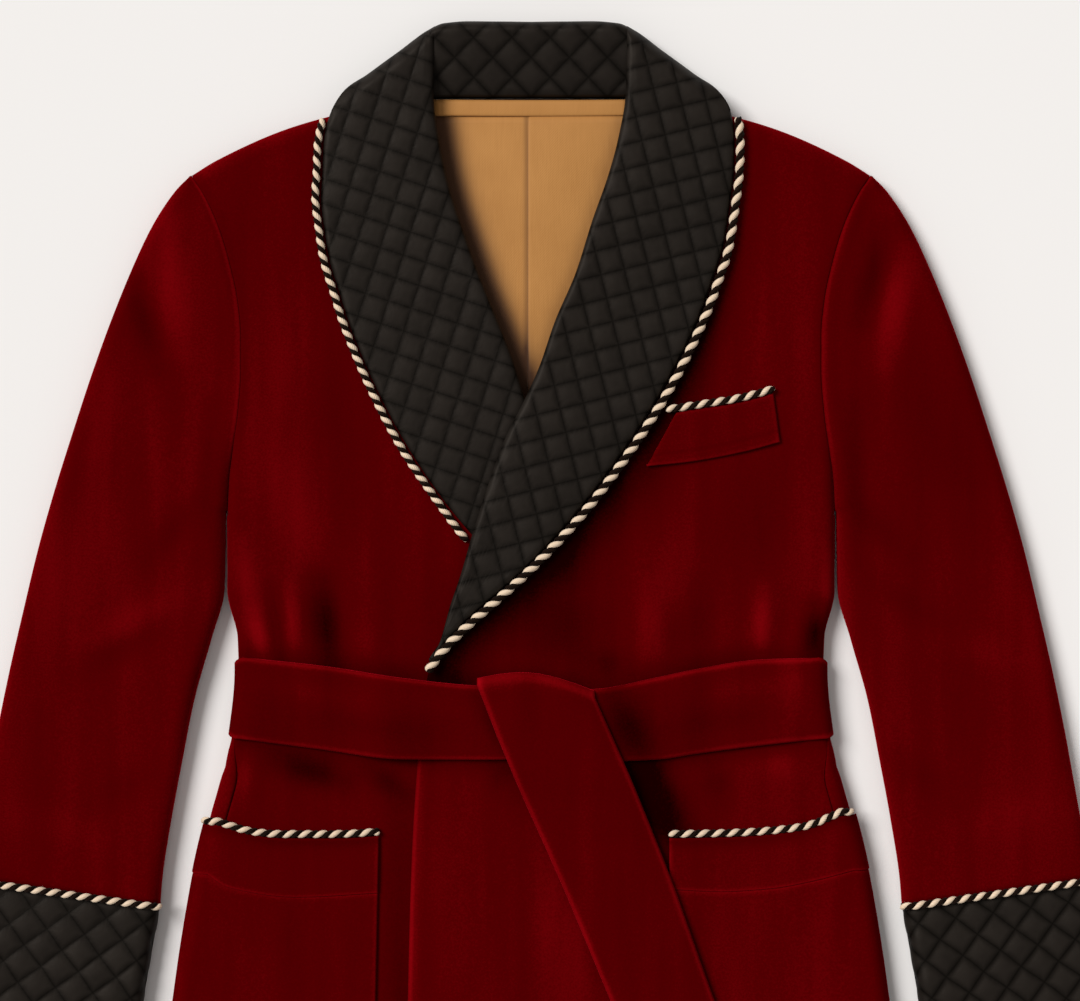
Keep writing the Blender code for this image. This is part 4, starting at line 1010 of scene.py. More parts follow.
@dataclass
class BackLining:
    """The tan lining that shows inside the neck."""

    form: Form
    reach: float = 92.0
    end: float = 250.0
    thickness: float = 1.0

    def build(self, tailor: Tailor) -> None:
        """Make both halves, the left with the pleat's folded edge, and the strip along the neck seam."""
        base = self.form.cloth + self.form.lay_gap

        def half(side: Side) -> Place:
            """Return the place function of one half."""
            def place(u: float, v: float) -> Spot:
                """Return a point for x and a distance down."""
                pleat = 1.0 - smooth_step(6.0, 70.0, u) if side is Side.LEFT else 0.0
                soft = 0.35 * sin(v / 60.0 + u / 40.0)
                z = base + self.thickness + 1.6 * pleat * smooth_step(4.0, 40.0, v) + soft + 0.4
                # Painted shadow cast by the right lapel's edge, a weaker one by the left lapel, and painted
                # shade under the neck strip.
                nap = -1.0 * bell(max(u - self.form.under_edge.at(v) - 5.0, 0.0), 11.0)
                nap -= 0.30 * bell(u - self.form.over_edge.at(v), 6.0) + 0.25 * bell(v, 9.0)
                if side is Side.LEFT:
                    z -= soften(u + 2.6, 2.2, 1.3)
                    # Painted shade in the pleat's fold line.
                    nap -= 0.55 * bell(u + 2.6, 0.9)
                else:
                    # Painted shadow beside the pleat's folded edge.
                    nap -= 0.45 * bell(u + 3.0, 2.2)
                return u, v, z, clamp(nap, -1.0, 0.0)
            return place

        left = [-2.6, -2.3, -1.8, -1.1, -0.4] + steps(0.5, 20.0, 3.0) + steps(24.0, self.reach, 5.0)
        right = steps(-self.reach, -10.0, 4.0) + steps(-9.0, 8.0, 1.0)
        rows = steps(12.0, self.end, 6.0)
        for side, columns in ((Side.LEFT, left), (Side.RIGHT, right)):
            tailor.sheet("lining_" + side.word, columns, rows, half(side), self.thickness, tailor.lining,
                         (0, 0, 1), ["back.cloth"])

        def strip(u: float, v: float) -> Point:
            """Return a point of the neck strip."""
            sag = 0.5 * (1.0 - (u / 70.0) ** 2)
            z = base + 2.7 - soften(12.8 - v, 1.8, 1.0) + (0.5 - abs(v - 6.0) / 14.0)
            return u, v + sag, z

        tailor.sheet("lining_neck_strip", steps(-70.0, 70.0, 5.0), [1.0, 4.0, 7.0, 9.5, 11.0, 12.0, 12.8],
                     strip, 1.0, tailor.lining, (0, 0, 1), ["lining_left.cloth"])


@dataclass
class Sleeve:
    """One sleeve: its top and its under half, from the armhole to the cuff."""

    form: Form
    side: Side
    start: float = 56.4
    end: float = 574.7

    inner_edge = Graph((297, 217.2), (350, 218.2), (386, 227.6), (429, 239.7), (472, 248.2), (514, 256.0),
                       (557, 262.6), (575, 264.0))
    outer_edge = Graph(
        (57, 243.2), (66.5, 252.8), (88, 267.4), (109, 278.1), (152, 296.2), (195, 311.9), (237, 325.7),
        (280, 339.2), (322, 351.0), (365, 361.3), (408, 371.2), (451, 380.0), (493, 387.6), (556, 399.2))
    outer_down = Graph(
        (59.0, 57.3), (80, 69), (110, 94), (142, 121), (176, 151), (212, 186), (248, 222), (272, 246),
        (294, 266), (297.3, 269.5), (330, 301), (362, 334), (396, 370), (434, 409), (474, 450), (520, 498),
        (574.7, 555.4))

    def creases(self) -> Sequence[Crease]:
        """Return this sleeve's creases, with their painted shade or highlights; the last row only paints
        shade near the armhole.
        """
        if self.side is Side.LEFT:
            return crease_table(
                (253, 96, 235, 160, -1.5, 9, -0.40), (268, 112, 250, 190, 1.0, 11, 0.30),
                (232, 290, 266, 326, -1.2, 10, -0.20), (244, 346, 300, 380, -1.3, 10, -0.15),
                (300, 386, 344, 402, 0.9, 12, 0.12), (262, 470, 300, 500, -0.9, 12, -0.12),
                (330, 300, 352, 420, 0.7, 16, 0.10), (300, 520, 372, 506, 0.8, 14, 0.08),
                (288, 200, 310, 300, -0.8, 24, -0.12), (226, 220, 232, 330, 0.0, 9, -0.25))
        return crease_table(
            (-256, 94, -250, 182, 1.2, 13, 0.35), (-281, 134, -264, 192, -1.5, 9, -0.45),
            (-292, 180, -306, 250, 0.8, 12, 0.12), (-236, 290, -270, 332, -1.3, 10, -0.20),
            (-250, 356, -310, 386, 1.1, 11, 0.15), (-262, 380, -320, 412, -1.1, 10, -0.15),
            (-270, 480, -306, 506, -0.9, 12, -0.12), (-336, 300, -350, 420, 0.7, 16, 0.10),
            (-300, 526, -372, 508, 0.8, 14, 0.08), (-226, 220, -232, 330, 0.0, 9, -0.25))

    def half(self, upper: bool, tailor: Tailor) -> None:
        """Make the top or the under half."""
        form, side = self.form, self.side
        radius = form.top / 2.0
        creases = self.creases()
        rows = steps(self.start, 80.0, 2.2)[:-1] + steps(80.0, form.underarm, 4.6)
        rows += [295.2] + steps(298.0, self.end, 4.8)
        sign = 1.0 if upper else -1.0

        def place(u: float, v: float) -> Spot:
            """Return a point for a part across and the distance down at the inner edge."""
            on_armhole = v < form.underarm + 1.0
            inner_x = form.armhole.at(v) + 0.02 if on_armhole else self.inner_edge.at(v)
            outer_down = self.outer_down.at(v)
            outer_x = self.outer_edge.at(outer_down)
            length = hypot(outer_x - inner_x, outer_down - v)
            squeeze = min(1.0, length / (2.0 * radius + 4.0))
            total = length + 2.0 * radius * (QUARTER - 1.0) * squeeze
            reach = u * total
            quarter = radius * QUARTER * squeeze
            crease = form.armhole_fold(v) if on_armhole and upper else float(not on_armhole)
            if reach < quarter:
                inset, rise = turned(max(reach / squeeze, SEAM_GAP), radius)
                inset *= squeeze
                rise = radius - (radius - rise) * crease
            elif reach > total - quarter:
                inset, rise = turned(max((total - reach) / squeeze, SEAM_GAP), radius)
                inset = length - inset * squeeze
            else:
                inset, rise = radius * squeeze + reach - quarter, radius
            cap = clamp(length / 2.0 / radius)
            height = sqrt(1.0 - (1.0 - cap) ** 2)
            x = side.value * (inner_x + (outer_x - inner_x) * inset / length)
            down = v + (outer_down - v) * inset / length
            z = radius + sign * rise * height
            # Painted highlight along the sleeve's turned edges.
            nap = 0.60 * bell(rise / radius, 0.5)
            if upper:
                # Creases add height and painted shade or highlight.
                raised, shade = creased(creases, x, down)
                nap += shade
                level = smooth_step(0.45, 1.0, rise / radius)
                near = clamp(inset / 14.0) if on_armhole else 1.0
                z += (raised + ripple(x, down)) * level * near
                if on_armhole:
                    z -= soften(inset, 2.0, 0.5) * (1.0 - crease)
                    z += 0.9 * bell(inset - 6.0, 5.0) * (1.0 - crease) * clamp((v - 66.0) / 20.0)
                    # Painted highlight just inside the armhole seam.
                    nap += 0.30 * bell(inset - 1.6, 1.6) * (1.0 - crease)
            return x, down, z, clamp(nap, -1.0, 1.0)

        columns = [0.0, 0.012, 0.025, 0.045, 0.07] + steps(0.1, 0.9, 0.028 if upper else 0.05)
        columns += [0.93, 0.955, 0.975, 0.988, 1.0]
        word = "top" if upper else "under"
        below = [f"sleeve_{side.word}_under.cloth"] if upper else ["floor"]
        tailor.sheet(f"sleeve_{side.word}_{word}", columns, rows, place, form.cloth, tailor.velvet,
                     (0, 0, sign), below)

    def build(self, tailor: Tailor) -> None:
        """Make both halves."""
        self.half(False, tailor)
        self.half(True, tailor)


@dataclass
class Cuff:
    """A quilted turn-back cuff, with the cord along its upper line."""

    form: Form
    side: Side
    thickness: float = 3.0

    top = ((264.1, 575.1), (399.6, 555.9))
    bottom = ((284.2, 688.0), (420.6, 667.5))

    def line(self, part: float) -> tuple[float, float, float, float]:
        """Return the inner end of a line across the cuff and the way to its outer end."""
        x0, down0 = (mix(a, b, part) for a, b in zip(self.top[0], self.bottom[0]))
        x1, down1 = (mix(a, b, part) for a, b in zip(self.top[1], self.bottom[1]))
        return x0, down0, x1 - x0, down1 - down0

    def point(self, across: float, part: float, sign: float, puff: float) -> Point:
        """Return a point for a part of the unrolled half width and a part of the length."""
        radius = self.form.top / 2.0
        x0, down0, run_x, run_down = self.line(part)
        length = hypot(run_x, run_down)
        total = length + 2.0 * radius * (QUARTER - 1.0)
        reach = across * total
        if reach > total / 2.0:
            inset, rise = turned(max(total - reach, SEAM_GAP), radius, puff)
            inset = length - inset
        else:
            inset, rise = turned(max(reach, SEAM_GAP), radius, puff)
        x = x0 + run_x * inset / length
        return self.side.value * x, down0 + run_down * inset / length, radius + sign * rise

    def build(self, tailor: Tailor) -> None:
        """Make both halves of the cuff and its cord."""
        quilting = Quilting.diamond()
        drop = self.bottom[0][1] - self.top[0][1]
        width = hypot(self.line(0.5)[2], self.line(0.5)[3]) + self.form.top * (QUARTER - 1.0)
        satin = CuffSatin("satin_cuff_" + self.side.word, quilting.turn, quilting.cell).make()

        def upper(u: float, v: float) -> Point:
            """Return a point of the quilted upper half, for unrolled sizes."""
            swell = quilting.puff(u, v) * clamp(min(u, width - u) / 10.0, 0.5, 1.0)
            swell *= clamp(min(v, drop - v) / 6.0, 0.15, 1.0)
            swell -= soften(drop - v, 4.0, 1.6)
            return self.point(u / width, v / drop, 1.0, swell - 0.5)

        def under(u: float, v: float) -> Point:
            """Return a point of the lower half."""
            return self.point(u, v, -1.0, 0.0)

        name = "cuff_" + self.side.word
        tailor.sheet(name + "_under", [0, 0.02, 0.04, 0.06, 0.08, 0.1, 0.3, 0.5, 0.7, 0.9, 0.92, 0.94, 0.96,
                                       0.98, 1.0], [index / 12 for index in range(13)], under,
                     self.thickness, satin, (0, 0, -1), ["floor"])
        tailor.sheet(name + "_top", steps(0.0, width, 1.7), steps(0.0, drop, 1.7), upper, self.thickness,
                     satin, (0, 0, 1), [name + "_under.cloth"])
        radius, stand = self.form.top / 2.0, self.form.cord_lift
        x0, down0, run_x, run_down = self.line(0.0)
        length = hypot(run_x, run_down)
        ends = [(radius - (radius + stand) * cos(radians(angle)),
                 radius + (radius + stand) * sin(radians(angle)))
                for angle in (36.0, 54.0, 72.0, 88.0)]
        middle = [(mix(radius + 6.0, length - radius - 6.0, part / 4.0), self.form.top + stand)
                  for part in range(5)]
        route = ends + middle + [(length - reach, z) for reach, z in reversed(ends)]
        points = [(self.side.value * (x0 + run_x * reach / length), down0 + run_down * reach / length, z)
                  for reach, z in route]
        TwistedCord("cord_cuff_" + self.side.word, points).build(tailor)


@dataclass(frozen=True)
class CuffSatin(QuiltedSatin):
    """Black satin whose diamonds follow the cuff's own cloth."""

    def place(self, book: ShaderBook) -> tuple[Wire, Wire]:
        """Return a place across and along the cuff's cloth."""
        across, along, _ = book.parts(book.uv())
        return across, along


@dataclass
class Collar:
    """The quilted shawl collar: two lapels, the stand inside the neck, the fall and the cords."""

    form: Form
    thickness: float = 2.6
    curl: float = 3.7
    curl_angle: float = 165.0

    over_outer = (
        Graph.even(75, 93.2, 112.7, 131.2, 141.4, 144.0, 143.6, 141.0, 136.2, 129.8, 118.2, 95.4, 66.6,
                   32.6, -4.8, -46.4, -62.6, -69.6),
        Graph.even(-46.4, -33.0, -18.8, -4.6, 12, 30, 54, 75.6, 107, 127, 159, 205, 250.6, 295.6, 335.6,
                   372.4, 390, 400))
    over_inner = Graph.even(-50.0, -43, -33, -18, 0, 16, 36, 54, 78, 97, 122, 160, 204, 247, 296, 352, 380,
                            402)
    under_outer = (
        Graph.even(-75, -93.2, -112.7, -131.2, -143.4, -146.8, -147.6, -148.6, -146.3, -142.7, -135.9,
                   -128.4, -111.1, -87.6, -57.0, -38.0),
        Graph.even(-46.4, -33.0, -18.8, -4.6, 17, 34, 54, 74, 95.4, 117, 139.4, 162.8, 204.4, 249, 293.6,
                   316))
    under_inner = Graph.even(-50.0, -43, -33, -18, 0, 14, 30, 46, 62, 80, 99, 120, 158, 200, 228, 240)

    twist = {Side.LEFT: (-1.0, 6.6, 12.2), Side.RIGHT: (1.0, 5.8, 9.6)}

    over_cord = ((16, 146.4), (30, 147.9), (54, 147.6), (76, 145.0), (108, 140.1), (129, 133.6), (161, 121.6),
                 (207, 98.9), (253, 69.7), (298, 35.6), (338, -2.3), (376, -45.0), (394, -62.6), (408, -73.0))
    under_cord = ((17, -147.4), (34, -150.8), (54, -151.6), (74, -152.6), (96, -150.1), (118, -146.5),
                  (141, -139.4), (165, -131.7), (207, -114.1), (252, -90.5), (297, -59.7), (316, -45.4))

    over_line = Graph(*over_cord)

    def inside_top(self, x: float, down: float) -> float:
        """Return how far a place lies inside the collar's upper outline."""
        half = abs(x)
        top = self.form.collar_top
        slope = (top.at(half + 4.0) - top.at(half - 4.0)) / 8.0 if half > 6.0 else 0.0
        return (down - top.at(half)) / sqrt(1.0 + slope * slope)

    def full_height(self, side: Side, x: float, down: float) -> float:
        """Return the lapel's height at a place, rolled down at the collar's upper outline."""
        full = self.form.front(side, x) + self.form.lay_gap + self.thickness
        if down > 26.0:
            return full
        low = mix(self.form.top / 2.0 + 0.6, full, smooth_step(116.0, 140.0, abs(x)))
        part = clamp(self.inside_top(x, down) / 11.0)
        return low + (full - low) * sqrt(1.0 - (1.0 - part) ** 2)

    def lapel(self, side: Side, tailor: Tailor) -> None:
        """Make one lapel with its part of the collar, rolled at its inner edge."""
        form = self.form
        over = side is Side.LEFT
        outer_x, outer_down = self.over_outer if over else self.under_outer
        inner_down = self.over_inner if over else self.under_inner
        quilting = Quilting.over() if over else Quilting.under()
        edge = form.edge(side)
        last = 17.0 if over else 15.0

        def place(u: float, v: float) -> Spot:
            """Return a point; u is an angle of the curl where negative, else a part across."""
            roll_down = inner_down.at(v)
            start = (edge.at(roll_down), roll_down)
            end = (outer_x.at(v), outer_down.at(v))
            length = hypot(end[0] - start[0], end[1] - start[1])
            bend = min(self.curl, length * 0.4)
            curled = radians(self.curl_angle) * mix(0.08, 1.0, smooth_step(0.2, 3.0, v))
            skipped = bend * (1.0 - cos(max(QUARTER - curled, 0.0)))
            if u < 0.0:
                angle = QUARTER + u * curled
                reach, sink = bend * (1.0 - cos(angle)) - skipped, bend * (1.0 - sin(angle))
            else:
                reach, sink = mix(bend - skipped, length, u), 0.0
            part = reach / length
            x, down = mix(start[0], end[0], part), mix(start[1], end[1], part)
            full = self.full_height(side, x, down)
            rest = length - reach
            swell = clamp(reach / 7.0) * clamp(rest / 4.0, 0.1, 1.0) * clamp(length / 24.0)
            if not over:
                hidden = (form.over_edge.at(down) - x) * 0.93
                swell *= smooth_step(-6.0, 4.0, hidden)
                full -= 1.0 * (1.0 - smooth_step(-8.0, 3.0, hidden))
            if down < 20.0:
                swell *= clamp(self.inside_top(x, down) / 8.0, 0.25, 1.0)
            z = full + quilting.puff(x, down) * swell - sink
            z -= soften(rest, 3.0, 1.3) if down > 12.0 else 0.0
            z += 0.7 * sin(down / 37.0 + 0.6) * clamp(min(reach, rest) / 18.0)
            return x, down, z

        columns = [-1.0, -0.86, -0.72, -0.58, -0.44, -0.3, -0.15] + steps(0.0, 1.0, 0.0185)
        rows = steps(0.0, 4.0, 0.075)[:-1] + steps(4.0, last, 0.052)
        material = tailor.over_satin if over else tailor.under_satin
        tailor.sheet("collar_" + side.word, columns, rows, place, self.thickness, material, (0, 0, 1),
                     ["front_" + side.word + ".cloth"])

    def stand(self, tailor: Tailor) -> None:
        """Make the quilted stand that shows inside the neck."""
        quilting = Quilting.diamond()
        top = self.form.collar_top

        def place(u: float, v: float) -> Spot:
            """Return a point for x and a part of the way down from the top fold."""
            high = top.at(abs(u))
            down = mix(high, -0.4, v)
            level = mix(20.4, 8.6, clamp((down + 46.0) / 46.0))
            part = clamp((down - high) / 8.0)
            z = 9.4 + (level - 9.4) * sqrt(1.0 - (1.0 - part) ** 2) if part < 1.0 else level
            swell = quilting.puff(u, down) * clamp((down - high) / 9.0, 0.2, 1.0)
            swell *= clamp(-down / 5.0, 0.1, 1.0)
            z += swell - soften(-down, 3.0, 1.4)
            return u, down, z

        tailor.sheet("collar_stand", steps(-72.0, 72.0, 1.7), steps(0.0, 1.0, 0.031), place, 2.4,
                     tailor.stand_satin, (0, 0, 1), ["collar_fall.cloth"], held="folded")

    def fall(self, tailor: Tailor) -> None:
        """Make the fall at the back, flat on the surface."""
        top, radius = self.form.collar_top, 8.8

        def place(u: float, v: float) -> Spot:
            """Return a point for x and a part from the outline to the neck seam."""
            high = top.at(abs(u))
            bottom = self.form.shoulder.at(abs(u)) - SEAM_GAP
            room = min(1.0, (bottom - high - 2.0) / radius)
            if v < 0.5:
                inset, rise = turned(-radius * QUARTER * v * 2.0, radius)
                return u, high + inset * room, radius + rise
            return u, mix(high + radius * room, bottom, v * 2.0 - 1.0), 0.0

        tailor.sheet("collar_fall", steps(-141.0, 141.0, 4.0), [index / 16 for index in range(17)], place,
                     2.4, tailor.stand_satin, (0, 0, -1), ["floor"], held="folded")

    def build(self, tailor: Tailor) -> None:
        """Make the whole collar."""
        self.fall(tailor)
        self.stand(tailor)
        for side, line in ((Side.RIGHT, self.under_cord), (Side.LEFT, self.over_cord)):
            self.lapel(side, tailor)
            points = [(x, down, self.form.front(side, x) + self.form.cord_lift) for down, x in line]
            x, down, z = points[0]
            points[0] = (x, down, z - 1.6)
            TwistedCord("cord_collar_" + side.word, points, *self.twist[side]).build(tailor)


@dataclass
class Pockets:
    """The two hip pockets with their bands and cords, and the breast welt."""

    form: Form
    bottom: float = 710.0
    inner_start: float = 525.0
    middle: float = 170.0

    tops = {Side.RIGHT: Graph((107, 521.5), (139, 523.3), (184, 523), (221, 516), (235, 513)),
            Side.LEFT: Graph((97, 523), (143, 522.3), (186, 519), (223, 509), (235, 506))}
    seams = {Side.RIGHT: Graph((107, 565), (171, 568), (221, 561.5), (244, 550)),
             Side.LEFT: Graph((97, 562), (138, 564), (174, 562), (205, 557), (240, 549))}
    inner = {Side.RIGHT: (107.6, 111.4), Side.LEFT: (97.8, 97.2)}
    welt_top = Graph((97, 223), (119, 219.3), (141, 216), (165, 210.3), (172, 208))
    welt_bottom = Graph((78, 263.5), (112, 260), (150, 253), (176, 246))

    def surface(self, side: Side, half: float, down: float, stand_off: float) -> Point:
        """Return the point a distance off the body's surface, round its side where it turns."""
        form = self.form
        radius = form.turn(down)
        flat = form.body_side.at(down) - radius
        if half <= flat:
            x = side.value * half
            return x, down, form.front(side, x) + stand_off
        angle = (half - flat) / radius
        reach = flat + (radius + stand_off) * sin(angle)
        return side.value * reach, down, form.floor_raise(down) + radius + (radius + stand_off) * cos(angle)

    def laid(self, side: Side, name: str, top: Callable[[float], float], bottom: Callable[[float], float],
             thickness: float, depth: bool, tailor: Tailor) -> None:
        """Make one laid piece between two lines, with painted highlights at its edges and, on the band,
        painted shade at its top under the cord.
        """
        form = self.form
        inner_top, inner_bottom = self.inner[side]

        def place(u: float, v: float) -> Spot:
            """Return a point for a column, turned where negative, and a part of the way down."""
            middle = mix(top(self.middle), bottom(self.middle), v)
            low = clamp((middle - self.inner_start) / (self.bottom - self.inner_start))
            inner = mix(inner_top, inner_bottom, low)
            reach = mix(form.body_side.at(middle), inner, max(u, 0.0))
            down = mix(top(reach), bottom(reach), v)
            radius = form.turn(down)
            flat = form.body_side.at(down) - radius
            half = flat + radius * radians(84.0) * -u if u < 0.0 else mix(flat, inner, u)
            edge = min(v, 1.0 - v) * abs(bottom(reach) - top(reach))
            stand_off = form.lay_gap + thickness + 0.25 * sin(half / 19.0) * sin(down / 23.0) + 0.3
            stand_off -= soften(edge, 2.2, 0.3) + soften(abs(half - inner), 2.6, 0.8)
            # Painted highlights along the inner edge and the upper and lower edges.
            nap = 0.35 * bell(abs(half - inner), 2.2) + 0.34 * bell(edge, 1.6)
            # On the band, painted shade at its top under the cord.
            nap -= 0.35 * bell(v * abs(bottom(reach) - top(reach)), 6.0) if depth else 0.0
            return *self.surface(side, half, down, stand_off), nap

        columns = [-1.0, -0.85, -0.7, -0.55, -0.4, -0.25, -0.1] + steps(0.0, 0.97, 0.03) + [0.985, 0.993, 1.0]
        rows = rimmed(0.07 if depth else 0.04)
        tailor.sheet(name, columns, rows, place, thickness, tailor.velvet, (0, 0, 1),
                     [f"front_{side.word}.cloth"])

    def hip(self, side: Side, tailor: Tailor) -> None:
        """Make a hip pocket, its band and its cord."""
        form, top, seam = self.form, self.tops[side], self.seams[side]
        clear = form.cord / 2.0 - 0.6
        self.laid(side, "pocket_band_" + side.word, lambda half: top.at(half) + clear,
                  lambda half: seam.at(half) - 0.02, 2.9, True, tailor)
        self.laid(side, "pocket_" + side.word, lambda half: seam.at(half) + 0.02,
                  lambda half: self.bottom, 2.2, False, tailor)
        down = top.at(228.0)
        radius = form.turn(down)
        flat = form.body_side.at(down) - radius
        points = [self.surface(side, flat + radius * radians(angle), down, form.cord_lift)
                  for angle in (62.0 - side.value * 14.0, 46.0, 24.0, 4.0)]
        for part in range(1, 7):
            half = mix(flat, self.inner[side][0] - 0.5, part / 6.0)
            points.append(self.surface(side, half, top.at(half), form.cord_lift))
        TwistedCord("cord_pocket_" + side.word, points).build(tailor)

    def welt(self, tailor: Tailor) -> None:
        """Make the breast welt and its cord."""
        form = self.form

        def place(u: float, v: float) -> Spot:
            """Return a point for parts across and down."""
            top_x, bottom_x = mix(103.0, 171.6, u), mix(82.0, 176.4, u)
            top = self.welt_top.at(top_x) + form.cord / 2.0 - 0.8
            bottom = self.welt_bottom.at(bottom_x)
            x, down = mix(top_x, bottom_x, v), mix(top, bottom, v)
            edge = min(v, 1.0 - v) * (bottom - top)
            z = form.front(Side.LEFT, x) + form.lay_gap + 2.7
            z -= soften(edge, 2.2, 0.6) + soften((1.0 - u) * 90.0, 2.6, 0.9)
            seam = bell((1.0 - v) * (bottom - top) - 8.0, 1.3)
            z -= 0.35 * seam
            # Painted highlights on the welt's outer end and edges, and a little painted shade along the seam
            # line.
            nap = 0.30 * bell((1.0 - u) * 30.0, 1.0) - 0.10 * seam + 0.30 * bell(edge, 1.8)
            return x, down, z + 0.2 * sin(x / 13.0), nap

        tailor.sheet("breast_welt", steps(0.0, 0.96, 0.03) + [0.975, 0.988, 1.0],
                     [0.0, 0.03, 0.07, 0.13, 0.25, 0.4, 0.55, 0.66, 0.72, 0.76, 0.8, 0.84, 0.88, 0.92, 0.96,
                      0.98, 1.0], place, 2.2,
                     tailor.velvet, (0, 0, 1), ["front_left.cloth"])
        points = []
        for part in range(6):
            x = mix(95.5, 172.5, part / 5.0)
            points.append((x, self.welt_top.at(x), form.front(Side.LEFT, x) + form.cord_lift))
        TwistedCord("cord_breast_pocket", points, repeat=11.4).build(tailor)

    def build(self, tailor: Tailor) -> None:
        """Make all three pockets."""
        for side in (Side.RIGHT, Side.LEFT):
            self.hip(side, tailor)
        self.welt(tailor)


@dataclass
class Belt:
    """The tie belt: two straps, the run at the back and the two hanging ends."""

    form: Form
    thickness: float = 2.6
    side_top: float = 398.5
    side_bottom: float = 456.0
    strap_width: float = 56.0
    tail_width: float = 71.0
    flat_end: float = 196.0

    straps = {
        Side.RIGHT: (Graph((-208, 398), (-151, 404), (-96, 412), (-39, 418), (8, 420)),
                     Graph((-208, 456), (-151, 463.5), (-96, 470), (-39, 470.5), (8, 470))),
        Side.LEFT: (Graph((14, 421), (44, 420.5), (91, 412), (115, 407), (162, 400), (208, 398.5)),
                    Graph((14, 471), (44, 472), (91, 470.5), (115, 467), (162, 461), (208, 456)))}
    tail_left = (Graph((0, -38.0), (0.12, -21.5), (0.18, -13.5), (0.24, -4.5), (0.31, 4.9), (0.4, 17.6),
                       (0.66, 55.8), (1, 102)),
                 Graph((0, 420), (0.12, 459), (0.18, 478), (0.24, 499), (0.31, 520), (0.4, 548), (0.66, 639),
                       (1, 749)))
    tail_right = (Graph((0, 45.0), (0.12, 61.0), (0.18, 69.5), (0.24, 78.5), (0.31, 87.0), (0.4, 98.0),
                        (0.66, 130.2), (1, 172)),
                  Graph((0, 426), (0.12, 462), (0.18, 481), (0.24, 503), (0.31, 524), (0.4, 552), (0.66, 642),
                        (1, 749)))
    stand_off = Graph((0, 9.0), (0.12, 9.3), (0.18, 9.3), (0.24, 7.6), (0.31, 7.6), (0.4, 9.8), (1, 9.8))

    def strap_height(self, side: Side, x: float) -> float:
        """Return the height of the surface under a strap."""
        form = self.form
        if side is Side.LEFT:
            return form.top + form.lift(x)
        return form.top + form.overlap * smooth_step(-130.0, -86.0, x)

    def strap(self, side: Side, tailor: Tailor) -> None:
        """Make one strap, across the front and round the side to the surface."""
        form, thickness = self.form, self.thickness
        top, bottom = self.straps[side]
        radius = (form.top + form.lay_gap + thickness) / 2.0
        inner = 14.0 if side is Side.LEFT else 8.0
        flat_end = self.flat_end * side.value
        # The creases' last numbers are painted shade or highlight; the first row on each side paints the
        # hanging end's shadow on the strap.
        if side is Side.LEFT:
            creases = crease_table(
                (60, 424, 80, 474, -0.5, 15, -0.75), (120, 424, 190, 416, 0.5, 8, 0.12),
                (100, 448, 170, 440, -0.5, 9, -0.15), (186, 404, 200, 452, 0.4, 9, 0.12))
        else:
            creases = crease_table(
                (-36, 426, -12, 470, -0.4, 7, -0.40), (-190, 418, -120, 430, 0.5, 8, 0.12),
                (-150, 444, -70, 452, -0.5, 9, -0.15), (-90, 426, -40, 436, 0.4, 8, 0.10))

        def place(u: float, v: float) -> Spot:
            """Return a point; u is x up to the turn, then the turn's arc; v is a part of the width."""
            if u <= 1.0:
                x = mix(inner, flat_end, u)
                down = mix(top.at(x), bottom.at(x), v)
                z = self.strap_height(side, x) + form.lay_gap + thickness
                wave = sin(x / 15.0 + 3.0 * v) * 0.35 + sin(x / 33.0 - 2.0 * v) * 0.35
            else:
                narrow = smooth_step(1.2, 2.0, u)
                down = mix(self.side_top + 4.5 * narrow, self.side_bottom - 3.0 * narrow, v)
                arc = radius * QUARTER * (2.0 - u) if u <= 2.0 else -radius * QUARTER * (u - 2.0)
                inset, rise = turned(arc, radius)
                if u > 3.0:
                    inset, rise = turned(-radius * QUARTER - 2.0, radius)
                x = side.value * (form.body_side.at(down) + form.lay_gap + thickness - inset)
                z, wave = radius + rise, 0.0
            edge = min(v, 1.0 - v) * self.strap_width
            crown = 1.3 * sin(pi * v) ** 0.6
            raised, nap = creased(creases, x, down)
            # Painted highlights along both edges, with slight painted shade over the rest.
            nap += 0.50 * bell(edge - 1.2, 1.8) - 0.12
            if u <= 1.0:
                z += wave + crown + raised - soften(edge, 4.6, 2.2)
            return x, down, z, clamp(nap, -1.0, 1.0)

        columns = steps(0.0, 1.0, 0.02) + [1.12, 1.25, 1.4, 1.55, 1.7, 1.85, 2.0, 2.15, 2.3, 2.45, 2.6, 2.75,
                                           2.9, 3.0, 3.1]
        tailor.sheet("belt_" + side.word, columns, rimmed(0.07), place, thickness, tailor.velvet,
                     (side.value * 0.5, 0, 1), ["front_left.cloth", "front_right.cloth"])

    def back(self, tailor: Tailor) -> None:
        """Make the run across the back, flat on the surface."""
        form = self.form
        radius = (form.top + form.lay_gap + self.thickness) / 2.0

        def place(u: float, v: float) -> Spot:
            """Return a point for parts across and down."""
            down = mix(self.side_top, self.side_bottom, v)
            half = form.body_side.at(down) + form.lay_gap + self.thickness - radius - 2.3
            return half * u, down, 0.0

        tailor.sheet("belt_back", steps(-1.0, 1.0, 0.05), steps(0.0, 1.0, 0.12), place, self.thickness,
                     tailor.velvet, (0, 0, -1), ["floor"])

    def tail(self, over: bool, tailor: Tailor) -> None:
        """Make one hanging end; the over one folds across the straps' top edges."""
        form, thickness = self.form, self.thickness
        lower = 0.0 if over else thickness + form.lay_gap
        fold = 4.6

